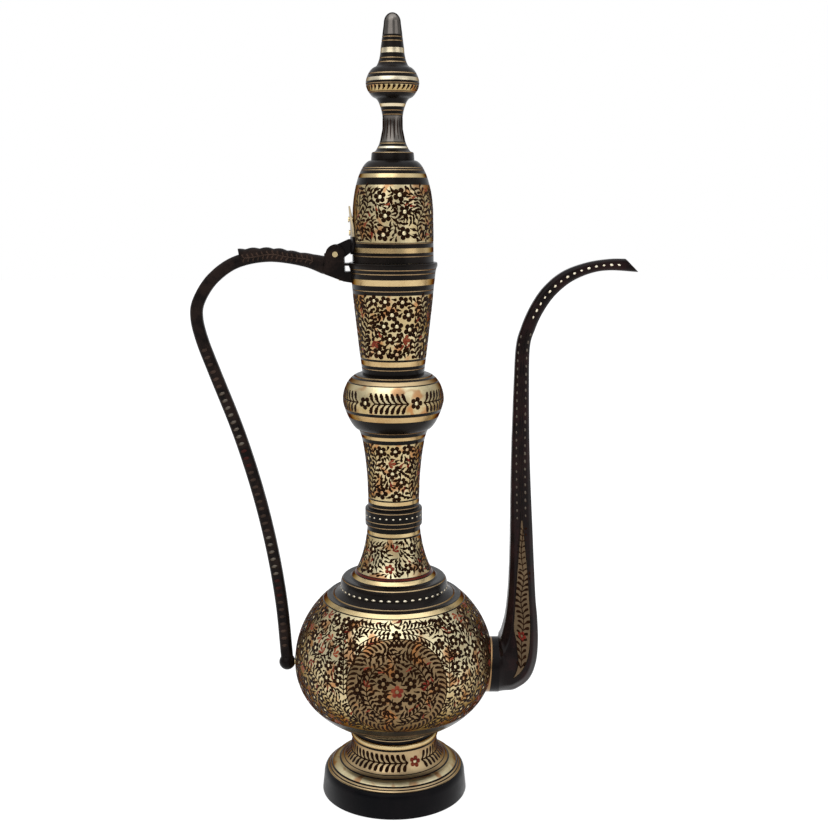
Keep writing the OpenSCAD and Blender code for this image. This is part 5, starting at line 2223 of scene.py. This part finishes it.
@dataclass
class Handle:
    """Bow handle: a bevelled bar with a scalloped crest, and a row of dashes down each side."""

    dashes = OrnamentSizes(
        dot_length=3.0, dot_width=5.8, relief=0.1, red="dash_lacquer", heart="carved_lacquer"
    )
    width: float = 9.4
    depth: float = 8.4
    bow: float = 10.4
    flare: float = 2.2
    flare_len: float = 26.0
    crest_start: float = 5.0
    crest_len: float = 59.5
    crest_rise: float = 3.4
    crest_h: float = 1.0
    crest_count: int = 6
    crest_power: int = 4
    loop: tuple[Point, ...] = (
        (-24, -4.4), (-51, -1.2), (-76, -6.2), (-94, -18.8), (-105, -35.5), (-107, -49), (-103, -67),
    )
    turn: Point = (-94, -92)
    start: Point = (-8.3, -8.3)
    dash_pitch: float = 6.0
    first_dash: float = 150.0

    def route(self) -> Array:
        """Lay out the middle of the bar, finely where it has its crest.

        Returns:
            Points from the hinge block to the ball.
        """
        pin = np.array(hinge_pin())
        low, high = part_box("handle_ball")
        end = np.array(((low.x + high.x) / 2 / MM, high.z / MM))
        turn = pin + self.turn
        lower = [turn + f * (end - turn) + (4 * self.bow * f * (1 - f), 0) for f in (0.2, 0.4, 0.6, 0.8)]
        points = [pin + self.start, *(pin + p for p in self.loop), turn, *lower, end]
        return np.vstack([through(points, 40)[:3 * 40], through(points, 16)[3 * 16:]])

    def crest(self, run: float) -> float:
        """Height of the crest on the bar.

        Args:
            run: Distance along the bar.

        Returns:
            Its height, which is 0 beyond its ends.
        """
        share = (run - self.crest_start) / self.crest_len
        if not 0 < share < 1:
            return 0.0
        scallop = abs(math.cos(math.pi * self.crest_count * (1 - share)))
        return self.crest_rise * share ** self.crest_power + self.crest_h * min(1, 2 * share) * scallop

    def build(self, engraver: Engraver) -> None:
        """Make the bar and the dashes of both its sides.

        Args:
            engraver: Maker of the ornament.
        """
        path = self.route()
        run = run_of(path)
        way = np.gradient(path, axis=0)
        way[0], way[-1] = (-1, 0), (0, -1)
        across, deep = square_to(way), self.depth / 2
        half = self.width / 2 + self.flare * np.maximum(0, 1 - run / self.flare_len) ** 2
        stations = zip(path, across, half, run)
        rings = [stood(bevelled(h + self.crest(s), h, deep), p, u) for p, u, h, s in stations]
        bar = loft("dressed_handle", np.array(rings), [engraver.palette["handle_lacquer"]])
        seat(bar, VESSEL, "handle_lacquer", "handle")
        for side, label in SIDES.items():
            marks = Drawing(SweptFace(path, across, np.full(len(path), deep), side), self.dashes)
            marks.vine([(9 + 4.0 * k, 0.6 + 0.5 * math.sin(k)) for k in range(14)], 0.75, Tint.HEART)
            for k in range(int((run[-1] - self.first_dash - 4) / self.dash_pitch)):
                x = self.first_dash + self.dash_pitch * k
                dim = Tint.HEART if math.sin(x / 19) > -0.1 else Tint.DULL
                tint = Tint.RED if math.sin(x / 17) > 0.8 else dim
                marks.mark(Motif.DOT, x, 0.3, 0.0, 1.0, tint)
            engraver.engrave("handle_dashes_" + label, marks, VESSEL, "handle_lacquer")


# Pieces that keep their CAD form


@dataclass(frozen=True)
class Carried:
    """CAD nodes that are shown as they are."""

    finish: str
    nodes: tuple[str, ...]

    def dress(self, palette: Palette) -> None:
        """Give the nodes their finish.

        Args:
            palette: Finishes of the vessel.
        """
        for node in self.nodes:
            mesh = frame["nodes"][node].data
            mesh.materials.clear()
            mesh.materials.append(palette[self.finish])


CARRIED = (
    Carried("plain_brass", (
        "handle_stud", "hinge_pin", "block_rivets", "lid_plug", "leaf_rivets", "finial_stud", "finial_nut",
    )),
    Carried("handle_lacquer", ("handle_ball", "hinge_block")),
    Carried("collar_brass", ("spout_collar",)),
    Carried("leaf_brass", ("hinge_leaf",)),
)


# Studio


@dataclass(frozen=True)
class SoftBox:
    """A square lamp that points at the vessel."""

    name: str
    place: Place
    size: float
    power: float
    colour: Colour = (1.0, 1.0, 1.0)

    def build(self, target: Place) -> None:
        """Hang the lamp.

        Args:
            target: Point that it faces.
        """
        lamp = bpy.data.lights.new(self.name, "AREA")
        lamp.size = self.size
        lamp.energy = self.power
        lamp.color = self.colour
        holder = placed(self.name, lamp)
        holder.location = self.place
        way = Vector(target) - Vector(self.place)
        holder.rotation_euler = way.to_track_quat("-Z", "Y").to_euler()


@dataclass
class Studio:
    """White sweep, soft lamps and the camera of the photograph."""

    pitch: float = math.radians(10)
    camera_place: Place = (0.016, -0.95807, 0.4785)
    lens: float = 54.35
    floor_half: float = 6.0
    lamps: tuple[SoftBox, ...] = (
        SoftBox("key", (-0.7, -1.5, 1.6), 2.0, 14.0),
        SoftBox("fill", (1.6, -1.2, 0.8), 1.3, 4.5),
        SoftBox("top", (0.1, -0.1, 1.9), 1.6, 6.6, (0.93, 0.96, 1.0)),
    )

    def build(self) -> None:
        """Set up the floor, the background, the lamps and the camera."""
        self.floor()
        self.background()
        for lamp in self.lamps:
            lamp.build((0.0, 0.0, 0.3))
        camera = bpy.data.cameras.new("camera")
        camera.lens = self.lens
        camera.sensor_width = 36.0
        holder = placed("camera", camera)
        holder.location = self.camera_place
        holder.rotation_euler = (math.pi / 2 - self.pitch, 0, 0)
        bpy.context.scene.camera = holder
        bpy.context.scene.view_settings.view_transform = "Standard"

    def floor(self) -> None:
        """Lay a pale floor that shows white to the camera and keeps the shadow."""
        h = self.floor_half
        mesh = bpy.data.meshes.new("floor")
        mesh.from_pydata([(-h, -h, 0), (h, -h, 0), (h, h, 0), (-h, h, 0)], [], [(0, 1, 2, 3)])
        floor = placed("floor", mesh)
        material = bpy.data.materials.new("floor")
        material.use_nodes = True
        net = NodeNet(material.node_tree)
        net.tree.nodes.clear()
        plain = net.out("ShaderNodeBsdfDiffuse", {"Color": (0.85, 0.85, 0.85, 1)})
        pale = net.out("ShaderNodeBsdfDiffuse", {"Color": (0.3, 0.3, 0.3, 1)})
        glow = net.out("ShaderNodeEmission", {"Color": (0.86, 0.86, 0.86, 1), "Strength": 1.0})
        both = net.out("ShaderNodeAddShader", {0: pale, 1: glow})
        mixed = net.out("ShaderNodeMixShader", {0: self.seen(net), 1: plain, 2: both})
        net.add("ShaderNodeOutputMaterial", {"Surface": mixed})
        mesh.materials.append(material)

    def seen(self, net: NodeNet) -> Socket:
        """Say whether a ray comes from the camera, a mirror or a glass."""
        ray = net.add("ShaderNodeLightPath").outputs
        first = net.math("MAXIMUM", ray["Is Camera Ray"], ray["Is Glossy Ray"])
        return net.math("MAXIMUM", first, ray["Is Transmission Ray"])

    def background(self) -> None:
        """Make the surroundings: white behind the vessel, dimmer around the camera."""
        world = bpy.data.worlds.new("studio")
        world.use_nodes = True
        bpy.context.scene.world = world
        net = NodeNet(world.node_tree)
        net.tree.nodes.clear()
        ray = net.add("ShaderNodeLightPath").outputs
        place = net.add("ShaderNodeTexCoord").outputs["Generated"]
        _, away, up = net.add("ShaderNodeSeparateXYZ", {0: place}).outputs
        behind = net.ramp(away, (-0.1, 0.35), (0.2, 0.9))
        above = net.ramp(up, (0.05, 0.75), (0.2, 1.0))
        level = net.math("MAXIMUM", behind, above)
        room = net.out("ShaderNodeBackground", {"Color": (0.96, 0.98, 1.0, 1), "Strength": level})
        white = net.out("ShaderNodeBackground", {"Color": (1, 1, 1, 1), "Strength": 1.0})
        seen = net.math("MAXIMUM", ray["Is Camera Ray"], ray["Is Transmission Ray"])
        mixed = net.out("ShaderNodeMixShader", {0: seen, 1: room, 2: white})
        net.add("ShaderNodeOutputWorld", {"Surface": mixed})


def main() -> None:
    """Build the dressed vessel and its studio."""
    logging.basicConfig(level=logging.INFO, format="%(name)s: %(message)s")
    engraver = Engraver(Palette())
    for section in (
        Foot(), Bowl(), ShoulderRing(), LowerNeck(), NeckRing(), MidNeck(), Knop(), MouthCup(), Lid(),
        FinialCollar(), Finial(), Spout(), Handle(),
    ):
        section.build(engraver)
    for group in CARRIED:
        group.dress(engraver.palette)
    Studio().build()


if __name__ == "__main__":
    main()
